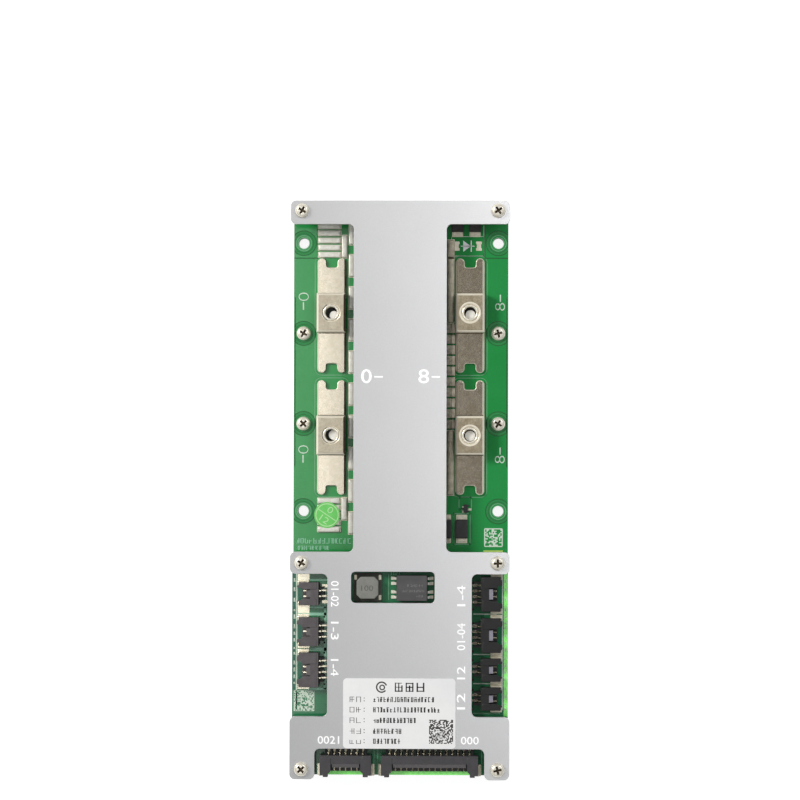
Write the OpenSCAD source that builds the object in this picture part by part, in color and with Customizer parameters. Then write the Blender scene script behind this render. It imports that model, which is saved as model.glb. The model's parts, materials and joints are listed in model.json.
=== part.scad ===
// Battery management board: a heavy power board on an aluminium base plate, a control board
// stacked over its lower end, and a cut-out aluminium cover screwed through both.
// X runs across the board, Y along it towards the power terminals, Z up from the base.
// The origin is the centre of the base plate's underside.

/* [Boards] */
// Width of both circuit boards
board_w = 76; // [72:1:84]
// Length of the power board
board_l = 202; // [200:1:212]
// Thickness of the power board
power_board_t = 2; // [1.6:0.1:3]
// Thickness of the control board
control_board_t = 1.6; // [1.2:0.1:2]
// Length of the control board
control_board_l = 77; // [76:0.5:80]
// How far the control board stops short of the power board's lower end
control_board_inset = 0.6; // [0.2:0.1:1]
// Clear height between the two boards
board_gap = 4.2; // [3.5:0.1:6]
// Corner radius of the boards and the base plate
board_corner_r = 1; // [0.5:0.1:2]

/* [Base] */
// Thickness of the aluminium base plate
base_t = 3; // [2:0.5:6]
// Thickness of the insulating sheet under the power board
sheet_t = 0.5; // [0.3:0.1:1]

/* [Cover] */
// Thickness of the aluminium cover
cover_t = 2.5; // [1.5:0.1:3]
// Height of the cover's underside over the control board
cover_gap = 3.2; // [2.8:0.1:4]
// How far the cover stands out past the boards on each side
cover_overhang = 0.5; // [0:0.1:1]
// Radius of the cover's inner and outer corners
cover_corner_r = 1.9; // [1:0.1:2.5]
// Width of the bar across the terminal end
end_bar_w = 8.3; // [7:0.1:10]
// Depth of the terminal bays, from the cover's side in
bay_d = 22.2; // [21:0.1:23]
// Width of the bar between the terminal bays and the port bays
mid_bar_w = 7.7; // [7:0.1:9]
// How far that bar reaches past the end of the control board
mid_bar_reach = 1.6; // [1:0.1:2]
// Depth of the port bays, from the cover's side in
port_bay_d = 13.2; // [12.5:0.1:14]
// Length of the cover from the port bays to the lower edge
foot_l = 22; // [21:0.5:26]
// Width of the cover left at each side of the lower notch
notch_side = 8.75; // [8:0.05:9.5]
// Depth of that notch
notch_d = 10.8; // [10:0.1:12]
// Width of the window over the tall parts
window_w = 29.3; // [28:0.1:31]
// Height of that window
window_l = 11; // [10.5:0.1:12]
// Corner radius of that window
window_corner_r = 1.5; // [0.8:0.1:2]

/* [Screws] */
// Thread diameter of every screw
screw_d = 2.5; // [2:0.1:3]
// Diameter of a pan head
head_d = 5; // [4.5:0.1:5.6]
// Height of a pan head
head_h = 1.9; // [1.5:0.1:2.2]
// Diametral clearance of a screw in the boards and the cover
screw_clearance = 0.4; // [0.2:0.1:0.6]
// Outer diameter of the spacers
spacer_d = 5; // [4.4:0.1:5.6]
// Distance of the cover screws from the cover's sides
cover_screw_side = 4.1; // [3.6:0.1:4.6]
// Distance of the cover screws from the cover's ends
cover_screw_end = 3.6; // [3.2:0.1:4.2]
// Step between the board screws, as a share of the mounting holes' distance
board_screw_share = 0.337; // [0.32:0.001:0.35]
// How far a screw's end stays inside the base plate
screw_end_gap = 0.6; // [0.4:0.1:1.2]

/* [Mounting holes] */
// Diameter of the four mounting holes
mount_hole_d = 3.8; // [3.2:0.1:4.2]
// Distance of the mounting holes from the board's sides
mount_side = 3.5; // [3.2:0.1:5]
// Distance of the first pair from the terminal end of the board
mount_from_end = 13.8; // [13:0.1:16]
// Distance of the second pair from the cover's middle bar
mount_from_bar = 14; // [12:0.1:15]

/* [Power terminals] */
// Width of a terminal strap
terminal_w = 10.2; // [9:0.1:11]
// Thickness of a terminal strap
terminal_t = 1.5; // [1.2:0.1:1.8]
// Distance of the first straps from the cover's end bar
head_room = 11.4; // [11:0.1:13]
// Distance of the last straps from the cover's middle bar
foot_room = 19.8; // [18:0.1:21]
// Gap between the two straps of one side
strap_gap = 2.6; // [2:0.1:4]
// How much longer the foot towards the control board is than the other
foot_extra = 1.6; // [0:0.1:3]
// Length of the raised bridge between the feet
bridge_l = 13.8; // [13:0.1:15]
// Height of the bridge over the power board
bridge_h = 7; // [6.4:0.1:8]
// Distance of a strap's centre line from the board's side
terminal_side = 13.5; // [13:0.1:14]
// Width of the notch in the end of each foot
tine_gap = 3.9; // [3:0.1:4.5]
// Depth of that notch
tine_depth = 3.3; // [2.5:0.1:4]
// Minor diameter of the M5 thread
thread_minor_d = 4.2; // [3.6:0.1:4.6]
// Diameter of the press nut's collar
collar_d = 6; // [5.6:0.1:6.6]
// Diameter of the press nut's body
nut_d = 8.6; // [7.8:0.1:9.4]
// Height of the press nut's body
nut_h = 3.4; // [2.8:0.1:4]

/* [Tinned bars] */
// Length of a solder-coated bar
bar_l = 7.8; // [7:0.1:8.2]
// Width of a bar
bar_w = 2; // [1.6:0.1:2.2]
// Height of a bar
bar_h = 1.2; // [0.8:0.1:1.6]
// Distance from one bar of the row along the web to the next
row_pitch = 11.4; // [10.8:0.1:11.6]
// Distance of the first one from the cover's end bar
row_from_bar = 2.6; // [2.4:0.1:4]
// Distance from one bar of a ladder to the next
ladder_pitch = 2.54; // [2.4:0.02:2.8]
// Number of bars in each ladder
ladder_count = 5; // [3:1:5]
// Width of the bars beside the shunts
long_bar_w = 2.5; // [2:0.1:2.6]
// Length of the short one of them
short_bar_l = 6.2; // [5:0.1:6.6]

/* [Parts on the power board] */
// Length of a shunt resistor
shunt_l = 6.4; // [6:0.1:6.4]
// Width of a shunt resistor
shunt_w = 3.2; // [2.8:0.1:3.4]
// Height of a shunt resistor
shunt_h = 1.1; // [0.8:0.1:1.4]
// Distance from one shunt resistor to the next
shunt_pitch = 3.76; // [3.6:0.02:3.8]
// Number of shunt resistors
shunt_count = 10; // [4:1:10]
// Width of a transistor along the board
fet_w = 10; // [9:0.1:10.4]
// Clear space between the leads of the two rows of transistors
fet_row_gap = 2.8; // [2:0.1:4]
// Height of a transistor
fet_h = 4.4; // [4:0.1:5]
// Length of a diode's moulded body
diode_l = 6.6; // [6:0.1:7]
// Width of a diode's moulded body
diode_w = 4.2; // [3.6:0.1:4.6]
// Height of a diode
diode_h = 2.3; // [2:0.1:2.6]

/* [Headers] */
// Distance from one pin to the next
pin_pitch = 2; // [1.8:0.05:2]
// Thickness of a pin
pin_w = 0.5; // [0.4:0.05:0.6]
// Depth of a header housing
port_d = 7.5; // [7:0.1:8]
// Height of a header housing
port_h = 5.2; // [5:0.1:5.6]
// Wall thickness of a header housing
port_wall = 0.9; // [0.7:0.05:1.1]
// Body length past the outermost pins, at each end
port_end = 3; // [2.8:0.1:3]
// Distance of the side headers' mouths from the board's side
port_setback = 2; // [1.6:0.1:2.4]
// How far the lower headers' arms stand out past the control board
lower_port_reach = 0.3; // [0:0.1:0.5]
// Pins in each header of the left bay, from the middle bar down
left_pins = [2, 3, 4];
// Gap before each of those headers
left_gaps = [3.1, 4.3, 2.4];
// Gap before each header of the right bay
right_gaps = [1.1, 2.4, 2.1, 2.1];
// Pins in the first lower header
first_lower_pins = 7; // [5:1:7]
// Distance of the lower headers from the board's left and right sides
lower_sides = [10.1, 10.4];
// Least gap between the lower headers
lower_gap = 3.4; // [3:0.1:5]

/* [Parts on the control board] */
// Width and length of the power inductor
inductor_w = 8.4; // [7:0.1:9]
// Height of the power inductor
inductor_h = 4.2; // [3.4:0.1:4.6]
// Width of the eight-lead module
module_w = 11; // [9:0.1:11.2]
// Length of the eight-lead module
module_l = 8.8; // [7:0.1:9]
// Height of the eight-lead module
module_h = 3.5; // [3:0.1:4]

/* [Labels] */
// Width of the sticker on the cover
label_w = 39.4; // [34:0.2:42]
// Length of the sticker on the cover
label_l = 24.6; // [20:0.2:25]
// Diameter of the round inspection sticker
seal_d = 9.2; // [8:0.1:9.6]

/* [Hidden] */
$fn = 48;

// Heights of the stack, from the base plate's underside up
power_z = base_t + sheet_t;
power_top = power_z + power_board_t;
control_z = power_top + board_gap;
control_top = control_z + control_board_t;
cover_z = control_top + cover_gap;
cover_top = cover_z + cover_t;
label_t = 0.12;
through = 1;

// Outline of the cover and its openings
cover_w = board_w + 2 * cover_overhang;
cover_l = board_l + 2 * cover_overhang;
cover_end = cover_l / 2;
control_bottom = control_board_inset - board_l / 2;
control_y = control_bottom + control_board_l / 2;
bay_top = cover_end - end_bar_w;
bay_bottom = control_bottom + control_board_l + mid_bar_reach;
bay_l = bay_top - bay_bottom;
port_bay_top = bay_bottom - mid_bar_w;
port_bay_bottom = foot_l - cover_end;
port_bay_l = port_bay_top - port_bay_bottom;
web_w = cover_w - 2 * bay_d;
notch_w = cover_w - 2 * notch_side;
window_x = -2.35;
window_drop = 4.7;
window_y = port_bay_top - window_drop;

// Screws and mounting holes
hole_d = screw_d + screw_clearance;
cover_screw_x = cover_w / 2 - cover_screw_side;
end_screw_y = cover_end - cover_screw_end;
mid_screw_y = (bay_bottom + port_bay_top) / 2;
end_screws = [for (x = [-1, 1]) [x * cover_screw_x, end_screw_y]];
stack_screws = [for (x = [-1, 1], y = [mid_screw_y, -end_screw_y]) [x * cover_screw_x, y]];
cover_screw_at = concat(end_screws, stack_screws);
mount_x = board_w / 2 - mount_side;
mount_y = board_l / 2 - mount_from_end;
mount_pitch_y = mount_y - bay_bottom - mount_from_bar;
board_screw_pitch = board_screw_share * mount_pitch_y;
mount_at = [for (x = [-1, 1], y = [mount_y, mount_y - mount_pitch_y]) [x * mount_x, y]];
board_screw_at = [for (x = [-1, 1], k = [1, 2]) [x * mount_x, mount_y - k * board_screw_pitch]];

// Power terminals
terminal_x = board_w / 2 - terminal_side;
straps_top = bay_top - head_room;
straps_bottom = bay_bottom + foot_room;
terminal_l = (straps_top - straps_bottom - strap_gap) / 2;
terminal_head = (terminal_l - foot_extra) / 2;
terminal_tail = (terminal_l + foot_extra) / 2;
bolt_y = [straps_top - terminal_head, straps_bottom + terminal_tail];
bolt_at = [for (x = [-1, 1], y = bolt_y) [x * terminal_x, y]];
bend_r = 1;
strap_chamfer = 0.7;
tine_root_r = 0.8;
collar_lip = 0.15;
press_gap = 0.02;

// Tinned bars
bar_chamfer = 0.4;
bar_spacing = 0.25;
web_bar_x = -(web_w / 2 + bar_spacing + bar_w / 2);
row_count = floor(bay_l / row_pitch);
row_y = [for (k = [0 : row_count - 1]) bay_top - row_from_bar - k * row_pitch];
ladder_shift = 0.9;
ladder_x = -terminal_x - ladder_shift;
side_bar_gap = 0.5;
side_bar_x = web_bar_x - bar_w - side_bar_gap;
upper_ladder_gap = 0.3;
lower_ladder_gap = 1.1;
upper_ladder_y = straps_top + upper_ladder_gap + bar_w / 2;
lower_ladder_y = straps_bottom - lower_ladder_gap - bar_w / 2;
long_bar_gap = 0.5;
long_bar_x = terminal_x - terminal_w / 2 - long_bar_gap - long_bar_w / 2;

// Shunt resistors, in one row between the long bars
shunt_gap = 0.2;
shunt_cap_l = 1.2;
shunt_lift = 0.2;
shunt_x = terminal_x - terminal_w / 2 - shunt_gap - shunt_l / 2;
shunt_mid_y = (straps_top + straps_bottom) / 2 + 0.1;
shunt_row_l = (shunt_count - 1) * shunt_pitch + shunt_w;
shunt_row_room = 0.6;
long_bar_l = (straps_top - straps_bottom - shunt_row_l) / 2 - shunt_row_room;
shunt_at = [
    for (k = [0 : shunt_count - 1])
        [shunt_x, shunt_mid_y + (k - (shunt_count - 1) / 2) * shunt_pitch]
];

// Two rows of transistors that face each other under the web
fet_tab_l = 1.5;
fet_tab_t = 1.3;
fet_lead_l = 2.4;
fet_lead_w = 0.9;
fet_lead_t = 0.5;
fet_side_gap = 1.15;
fet_shunt_gap = 0.3;
fet_left = web_bar_x + bar_w / 2 + fet_side_gap;
fet_right = shunt_x - shunt_l / 2 - fet_shunt_gap;
fet_d = (fet_right - fet_left - fet_row_gap) / 2 - fet_tab_l - fet_lead_l;
fet_x = [fet_left + fet_tab_l + fet_d / 2, fet_right - fet_tab_l - fet_d / 2];
pad_inset = 0.5;
pad_t = cover_z - power_top - fet_h;

// Diodes, each placed from the centre line of the right terminals
diode_term_w = 3.2;
diode_term_l = 1.3;
diode_term_t = 0.6;
upper_diode_reach = 2;
upper_diode_y = bay_top - upper_diode_reach + diode_l / 2;
lower_diode_drop = 12;
lower_diode_y = straps_bottom - lower_diode_drop;
upper_diode_shift = [-4.5, 1.7];
lower_diode_shift = [-2.8, -8.6];
diode_at = [
    for (k = [0, 1]) [terminal_x + upper_diode_shift[k], upper_diode_y],
    for (k = [0, 1]) [terminal_x + lower_diode_shift[k], lower_diode_y]
];

// Headers
port_roof = 0.9;
port_floor = 0.7;
port_rear_d = 2.9;
port_rear_wall = 1.2;
port_floor_d = 5.8;
arm_lift = 0.15;
ramp_d = 1.4;
ramp_step = 0.2;
ramp_drop = 1.3;
ramp_side = 0.4;
notch_extra = 0.4;
widest_tip_in = 0.9;
tip_in_share = 0.45;
pin_z = 2.4;
pin_reach = 5.5;
pin_fit = 0.01;
lead_drop_v = 0.8;
lead_foot_v = 2.6;
lead_foot_t = 0.3;
tab_w = 0.9;
tab_t = 0.3;
tab_h = 2.4;
tab_l = 3.8;
tab_inset = 0.15;
tab_return = 1;
side_port_x = board_w / 2 - port_setback - port_d;
lower_port_y = control_bottom - lower_port_reach + port_d;
least_notch = 3.3;

function port_l(pins) = pin_pitch * (pins - 1) + 2 * port_end;
function port_notch(pins) = max(pin_pitch * (pins - 2) + notch_extra, least_notch);
function sum_to(list, n) = n < 0 ? 0 : list[n] + sum_to(list, n - 1);

// Place of each header along its bay, from the bay's upper end
function port_places(pins, gaps) = [
    for (k = [0 : len(pins) - 1])
        sum_to(gaps, k) + sum_to([for (p = pins) port_l(p)], k - 1) + port_l(pins[k]) / 2
];

// Pins that fit the room of the right bay and of the lower edge
port_ends_l = 2 * port_end - pin_pitch;
bay_end_room = 2;
short_pins = 2;
right_room = port_bay_l - sum_to(right_gaps, 3) - bay_end_room - 4 * port_ends_l;
long_pins = floor((right_room / pin_pitch - 2 * short_pins) / 2);
right_pins = [long_pins, long_pins, short_pins, short_pins];
lower_room = board_w - sum_to(lower_sides, 1) - lower_gap - port_l(first_lower_pins) - port_ends_l;
lower_pins = [first_lower_pins, floor(lower_room / pin_pitch)];
left_port_at = port_places(left_pins, left_gaps);
right_port_at = port_places(right_pins, right_gaps);
lower_port_at = [
    lower_sides[0] + port_l(lower_pins[0]) / 2 - board_w / 2,
    board_w / 2 - lower_sides[1] - port_l(lower_pins[1]) / 2
];

// Tall parts that the window clears
window_left = window_x - window_w / 2;
inductor_inset = 5.7;
inductor_drop = 0.25;
inductor_at = [window_left + inductor_inset, window_y - inductor_drop, control_top];
inductor_base_t = 0.8;
module_inset = 8;
module_drop = 0.35;
module_at = [window_left + window_w - module_inset, window_y - module_drop, control_top];

// Packs hidden under the cover: the cell monitor and the controller
monitor_w = 10;
controller_w = 7;
chip_w = [monitor_w, controller_w];
chip_h = 1.4;
chip_lift = 0.1;
chip_side = 9;
chip_lead_l = 1;
chip_lead_w = 0.3;
chip_lead_t = 0.5;
chip_lead_pitch = 0.8;

// One balancing resistor for each cell
cells = lower_pins[0] + lower_pins[1] - 1;
resistor_w = 1.3;
resistor_l = 2.6;
resistor_h = 0.6;
resistor_pitch = 2.1;
resistor_setback = 3.5;
resistor_y = lower_port_y + lead_foot_v + resistor_setback;
chip_y = (window_y + resistor_y) / 2;
chip_at = [[-chip_side, chip_y], [chip_side, chip_y]];

// Stacking connector between the boards
link_l = 24;
link_w = 4.6;
link_contacts = 10;
link_pitch = 2;
link_foot = [0.5, 1, 0.25];

// Rectangle with round corners, centred on the origin
module round_rect(w, l, r) {
    square([w - 2 * r, l], center = true);
    square([w, l - 2 * r], center = true);
    for (x = [-1, 1], y = [-1, 1]) translate([x * (w / 2 - r), y * (l / 2 - r)]) circle(r);
}

// Opening that runs in from an edge along x = 0, with round inner corners and round ears
module edge_cut(l, d, r) {
    reach = d + 2 * r;
    translate([reach / 2 - d, 0]) round_rect(reach, l, r);
    for (y = [-1, 1]) scale([1, y]) translate([-r, l / 2]) ear_cut(r);
}

module ear_cut(r) {
    difference() {
        translate([0, -r / 2]) square([2 * r, 1.5 * r]);
        translate([0, r]) circle(r);
        translate([-r, -r]) square([r, 3 * r]);
    }
}

module holes(places, d) {
    for (p = places) translate(p) circle(d = d);
}

// Places children at each point of a list
module at(places) {
    for (p = places) translate([p[0], p[1], 0]) children();
}

// Board blank with its drilled holes, laid at a height
module board(w, l, y, z, t) {
    translate([0, 0, z]) linear_extrude(t) difference() {
        translate([0, y]) round_rect(w, l, board_corner_r);
        children();
    }
}

module power_holes(screw_hole_d) {
    holes(mount_at, mount_hole_d);
    holes(cover_screw_at, screw_hole_d);
    holes(board_screw_at, screw_hole_d);
}

// Aluminium plate that carries the heat away, tapped for the screws
module base_plate() {
    color("#b9babd") board(board_w, board_l, 0, 0, base_t) power_holes(screw_d + 2 * press_gap);
}

// Silicone sheet that insulates the power board from the base plate
module insulating_sheet() {
    color("#8f959b") board(board_w, board_l, 0, base_t, sheet_t) power_holes(hole_d);
}

module power_board() {
    color("#2f8a48") board(board_w, board_l, 0, power_z, power_board_t) power_holes(hole_d);
}

module control_board() {
    color("#2a7f43") board(board_w, control_board_l, control_y, control_z, control_board_t)
        holes(stack_screws, hole_d);
}

// Flat cover with terminal bays, port bays, a notch for the lower headers and a window
module top_cover() {
    color("#c9cacc") translate([0, 0, cover_z]) linear_extrude(cover_t) difference() {
        round_rect(cover_w, cover_l, cover_corner_r);
        for (side = [0, 1]) mirror([side, 0]) {
            translate([cover_w / 2, (bay_top + bay_bottom) / 2])
                edge_cut(bay_l, bay_d, cover_corner_r);
            translate([cover_w / 2, (port_bay_top + port_bay_bottom) / 2])
                edge_cut(port_bay_l, port_bay_d, cover_corner_r);
        }
        translate([0, -cover_end]) rotate(-90) edge_cut(notch_w, notch_d, cover_corner_r);
        translate([window_x, window_y]) round_rect(window_w, window_l, window_corner_r);
        holes(cover_screw_at, hole_d);
    }
}

// Side view of a strap, bent up from one foot, over the bridge and down to the other
module strap_profile() {
    difference() {
        union() {
            translate([-terminal_tail, 0]) square([terminal_tail + terminal_head, terminal_t]);
            translate([-bridge_l / 2, 0]) square([bridge_l, bridge_h - bend_r]);
            translate([bend_r - bridge_l / 2, 0]) square([bridge_l - 2 * bend_r, bridge_h]);
            for (s = [-1, 1]) translate([s * (bridge_l / 2 - bend_r), bridge_h - bend_r]) circle(bend_r);
        }
        translate([terminal_t - bridge_l / 2, -through])
            square([bridge_l - 2 * terminal_t, bridge_h - terminal_t + through]);
    }
}

// Cross-section of a strap with its upper edges broken
module strap_section(h) {
    edge = terminal_w / 2;
    polygon([
        [-edge, 0], [edge, 0], [edge, h - strap_chamfer], [edge - strap_chamfer, h],
        [strap_chamfer - edge, h], [-edge, h - strap_chamfer]
    ]);
}

// Gap between two round tines, cut from the end of a foot at y = 0
module tine_cut() {
    tine_r = (terminal_w - tine_gap) / 4;
    translate([0, tine_root_r - tine_depth / 2])
        round_rect(tine_gap, tine_depth + 2 * tine_root_r, tine_root_r);
    for (s = [-1, 1]) translate([s * (terminal_w / 2 - tine_r), -tine_r]) difference() {
        translate([-1.5 * tine_r, 0]) square([3 * tine_r, 2 * tine_r]);
        circle(tine_r);
    }
}

// One tinned copper terminal, its bolt hole on the local Z axis and its base at z = 0
module terminal() {
    color("#ddd6c8") difference() {
        intersection() {
            rotate([90, 0, 90]) linear_extrude(terminal_w, center = true) strap_profile();
            union() {
                rotate([90, 0, 0]) translate([0, 0, -terminal_head])
                    linear_extrude(terminal_head + terminal_tail) strap_section(terminal_t);
                rotate([90, 0, 0]) linear_extrude(bridge_l, center = true) strap_section(bridge_h);
            }
        }
        translate([0, 0, -through]) linear_extrude(terminal_t + 2 * through) {
            translate([0, terminal_head]) tine_cut();
            translate([0, -terminal_tail]) rotate(180) tine_cut();
        }
        cylinder(h = bridge_h + through, d = collar_d + 2 * press_gap);
    }
}

module terminal_at(side, row) {
    translate([side * terminal_x, bolt_y[row], power_top]) terminal();
}

module left_terminal_upper() { terminal_at(-1, 0); }
module left_terminal_lower() { terminal_at(-1, 1); }
module right_terminal_upper() { terminal_at(1, 0); }
module right_terminal_lower() { terminal_at(1, 1); }

// Press nuts under the bridges, their collars just proud of the straps
module terminal_nuts() {
    seat = power_top + bridge_h - terminal_t;
    color("#d5d6d8") at(bolt_at) difference() {
        union() {
            translate([0, 0, seat - nut_h]) cylinder(h = nut_h, d = nut_d);
            translate([0, 0, seat]) cylinder(h = terminal_t + collar_lip, d = collar_d);
        }
        translate([0, 0, seat - nut_h - through])
            cylinder(h = nut_h + terminal_t + collar_lip + 2 * through, d = thread_minor_d);
    }
}

// Solder-coated copper bar along local Y, standing on z = 0
module tinned_bar(l, w) {
    rotate([90, 0, 0]) linear_extrude(l, center = true) polygon([
        [-w / 2, 0], [w / 2, 0], [w / 2, bar_h - bar_chamfer], [w / 2 - bar_chamfer, bar_h],
        [bar_chamfer - w / 2, bar_h], [-w / 2, bar_h - bar_chamfer]
    ]);
}

module web_bars() {
    color("#e2e2de") at([for (y = row_y) [web_bar_x, y]]) translate([0, 0, power_top])
        tinned_bar(bar_l, bar_w);
}

// Ladder of bars across a strap's end, with one more bar beside it
module ladder(first_y, step) {
    color("#e2e2de") translate([0, 0, power_top]) {
        for (k = [0 : ladder_count - 1]) translate([ladder_x, first_y + k * step, 0])
            rotate(90) tinned_bar(bar_l, bar_w);
        translate([side_bar_x, first_y + sign(step) * (bar_l - bar_w) / 2, 0]) tinned_bar(bar_l, bar_w);
    }
}

module upper_ladder_bars() { ladder(upper_ladder_y, ladder_pitch); }
module lower_ladder_bars() { ladder(lower_ladder_y, -ladder_pitch); }

// Long bars at both ends of the shunt row and a short one above them
module shunt_side_bars() {
    color("#8d8578") translate([long_bar_x, 0, power_top]) {
        translate([0, straps_top - long_bar_l / 2, 0]) tinned_bar(long_bar_l, long_bar_w);
        translate([0, straps_bottom + long_bar_l / 2, 0]) tinned_bar(long_bar_l, long_bar_w);
        translate([0, straps_top + upper_ladder_gap + short_bar_l / 2, 0])
            tinned_bar(short_bar_l, long_bar_w);
    }
}

// Alloy strips that bridge the end caps
module shunt_resistors() {
    strip_l = shunt_l - 2 * shunt_cap_l;
    color("#4b4b47") at(shunt_at) translate([-strip_l / 2, -shunt_w / 2, power_top + shunt_lift])
        cube([strip_l, shunt_w, shunt_h - shunt_lift]);
}

module shunt_end_caps() {
    color("#d8d2c2") at(shunt_at) for (s = [0, 1]) mirror([s, 0, 0])
        translate([shunt_l / 2 - shunt_cap_l, -shunt_w / 2, power_top])
            cube([shunt_cap_l, shunt_w, shunt_h]);
}

// Places children at each transistor, with local +X from the leads towards the tab
module at_transistors() {
    for (y = row_y) {
        translate([fet_x[0], y, power_top]) mirror([1, 0, 0]) children();
        translate([fet_x[1], y, power_top]) children();
    }
}

module transistor_bodies() {
    draft = 0.35;
    color("#2b2b2d") at_transistors() rotate([90, 0, 0]) linear_extrude(fet_w, center = true) polygon([
        [-fet_d / 2 + draft, fet_lead_t], [-fet_d / 2, fet_h / 2], [-fet_d / 2 + draft, fet_h],
        [fet_d / 2 - draft, fet_h], [fet_d / 2, fet_tab_t], [-fet_d / 2 + draft, fet_tab_t]
    ]);
}

// Tin-plated tab under each body and two bent leads at its other side
module transistor_leads() {
    lead_top = fet_h / 2 + fet_lead_t / 2;
    color("#cfcfcc") at_transistors() {
        translate([-fet_d / 4, -fet_w / 2, 0]) cube([fet_d * 3 / 4 + fet_tab_l, fet_w, fet_tab_t]);
        for (s = [-1, 1]) translate([-fet_d / 2, s * fet_w / 4, 0]) rotate([90, 0, 0])
            linear_extrude(fet_lead_w, center = true) polygon([
                [0, lead_top], [-fet_lead_l / 2, lead_top], [-fet_lead_l / 2, fet_lead_t],
                [-fet_lead_l, fet_lead_t], [-fet_lead_l, 0], [fet_lead_t - fet_lead_l / 2, 0],
                [fet_lead_t - fet_lead_l / 2, lead_top - fet_lead_t], [0, lead_top - fet_lead_t]
            ]);
    }
}

// Soft pads that take the transistors' heat to the cover
module gap_pads() {
    pad = [fet_d - 2 * pad_inset, (row_count - 1) * row_pitch + fet_w, pad_t];
    color("#9fa6ad") for (x = fet_x)
        translate([x - pad[0] / 2, row_y[row_count - 1] - fet_w / 2, power_top + fet_h]) cube(pad);
}

module diode_bodies() {
    draft = 0.25;
    color("#262425") at(diode_at) translate([0, 0, power_top]) rotate([90, 0, 90])
        linear_extrude(diode_w, center = true) polygon([
            [-diode_l / 2, 0], [-diode_l / 2, diode_h / 2], [-diode_l / 2 + draft, diode_h],
            [diode_l / 2 - draft, diode_h], [diode_l / 2, diode_h / 2], [diode_l / 2, 0]
        ]);
}

module diode_terminals() {
    color("#d9d4c6") at(diode_at) for (s = [0, 1]) mirror([0, s, 0])
        translate([-diode_term_w / 2, diode_l / 2, power_top])
            cube([diode_term_w, diode_term_l, diode_term_t]);
}

// Three-lead transistor beside the lower diodes
module small_transistor() {
    body = [1.4, 2.9, 1.1];
    lead = [0.8, 0.45, 0.2];
    lead_spread = 0.95;
    offset = [1.3, 2.6];
    diode_end = lower_diode_y + diode_l / 2 + diode_term_l;
    color("#2a2a2a") translate([diode_at[2][0] + offset[0], diode_end + offset[1], power_top]) {
        translate([-body[0] / 2, -body[1] / 2, 0]) cube(body);
        for (s = [-1, 1]) translate([body[0] / 2, s * lead_spread - lead[1] / 2, 0]) cube(lead);
        translate([-body[0] / 2 - lead[0], -lead[1] / 2, 0]) cube(lead);
    }
}

// Shielded drum core with cut corners
module inductor_core() {
    core_inset = 0.3;
    corner_cut = 2.9;
    color("#8c8c86") translate([inductor_at[0], inductor_at[1], control_top + inductor_base_t])
        linear_extrude(inductor_h - inductor_base_t) difference() {
            square(inductor_w - 2 * core_inset, center = true);
            for (x = [-1, 1], y = [-1, 1]) translate([x * inductor_w / 2, y * inductor_w / 2])
                rotate(45) square(corner_cut, center = true);
        }
}

// Base that carries the inductor's end terminals
module inductor_base() {
    base_reach = 0.85;
    corner_cut = 1;
    edge = inductor_w / 2 + base_reach;
    color("#6d6a60") translate(inductor_at) linear_extrude(inductor_base_t) difference() {
        square(2 * edge, center = true);
        for (x = [-1, 1], y = [-1, 1]) translate([x * edge, y * edge])
            rotate(45) square(corner_cut, center = true);
    }
}

module module_body() {
    draft = 0.3;
    standoff = 0.2;
    edge = module_w / 2;
    dimple_d = 0.9;
    dimple_depth = 0.15;
    dimple_inset = 1.2;
    color("#4a4a49") translate(module_at) difference() {
        rotate([90, 0, 0]) linear_extrude(module_l, center = true) polygon([
            [draft - edge, standoff], [-edge, module_h / 2], [draft - edge, module_h],
            [edge - draft, module_h], [edge, module_h / 2], [edge - draft, standoff]
        ]);
        translate([dimple_inset - edge, module_l / 2 - dimple_inset, module_h - dimple_depth])
            cylinder(h = through, d = dimple_d);
    }
}

// Four bent leads on each short side, in two close pairs
module module_leads() {
    lead_l = 1.4;
    lead_w = 0.9;
    lead_t = 0.25;
    bend = lead_l / 2;
    shoulder = module_h / 2 + lead_t / 2;
    lead_y = [1.5, 3.3];
    color("#e4e2da") translate(module_at) for (s = [0, 1], side = [-1, 1], y = lead_y)
        mirror([s, 0, 0]) translate([module_w / 2, side * y, 0]) rotate([90, 0, 0])
            linear_extrude(lead_w, center = true) polygon([
                [0, shoulder], [bend, shoulder], [bend, lead_t], [lead_l, lead_t], [lead_l, 0],
                [bend - lead_t, 0], [bend - lead_t, shoulder - lead_t], [0, shoulder - lead_t]
            ]);
}

module control_chips() {
    color("#2c2c2e") for (k = [0, 1])
        translate([chip_at[k][0], chip_at[k][1], control_top + chip_lift + chip_h / 2])
            cube([chip_w[k], chip_w[k], chip_h], center = true);
}

module control_chip_leads() {
    color("#c9c9c4") for (k = [0, 1]) translate([chip_at[k][0], chip_at[k][1], control_top])
        for (turn = [0 : 90 : 270], n = [-3 : 3]) rotate(turn)
            translate([chip_w[k] / 2, n * chip_lead_pitch - chip_lead_w / 2, 0])
                cube([chip_lead_l, chip_lead_w, chip_lead_t]);
}

// A row behind the lower headers
module balance_resistors() {
    color("#3a3937") for (k = [0 : cells - 1])
        translate([(k - (cells - 1) / 2) * resistor_pitch - resistor_w / 2, resistor_y, control_top])
            cube([resistor_w, resistor_l, resistor_h]);
}

// Under the middle bar, with a row of feet on each board
module board_link() {
    color("#2b2b2b") translate([-link_l / 2, mid_screw_y - link_w / 2, power_top])
        cube([link_l, link_w, board_gap]);
}

module board_link_contacts() {
    color("#d8c48a") for (s = [0, 1], z = [power_top, control_z - link_foot[2]])
        for (k = [0 : link_contacts - 1])
            translate([(k - (link_contacts - 1) / 2) * link_pitch, mid_screw_y, z]) mirror([0, s, 0])
                translate([-link_foot[0] / 2, link_w / 2, 0]) cube(link_foot);
}

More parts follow.
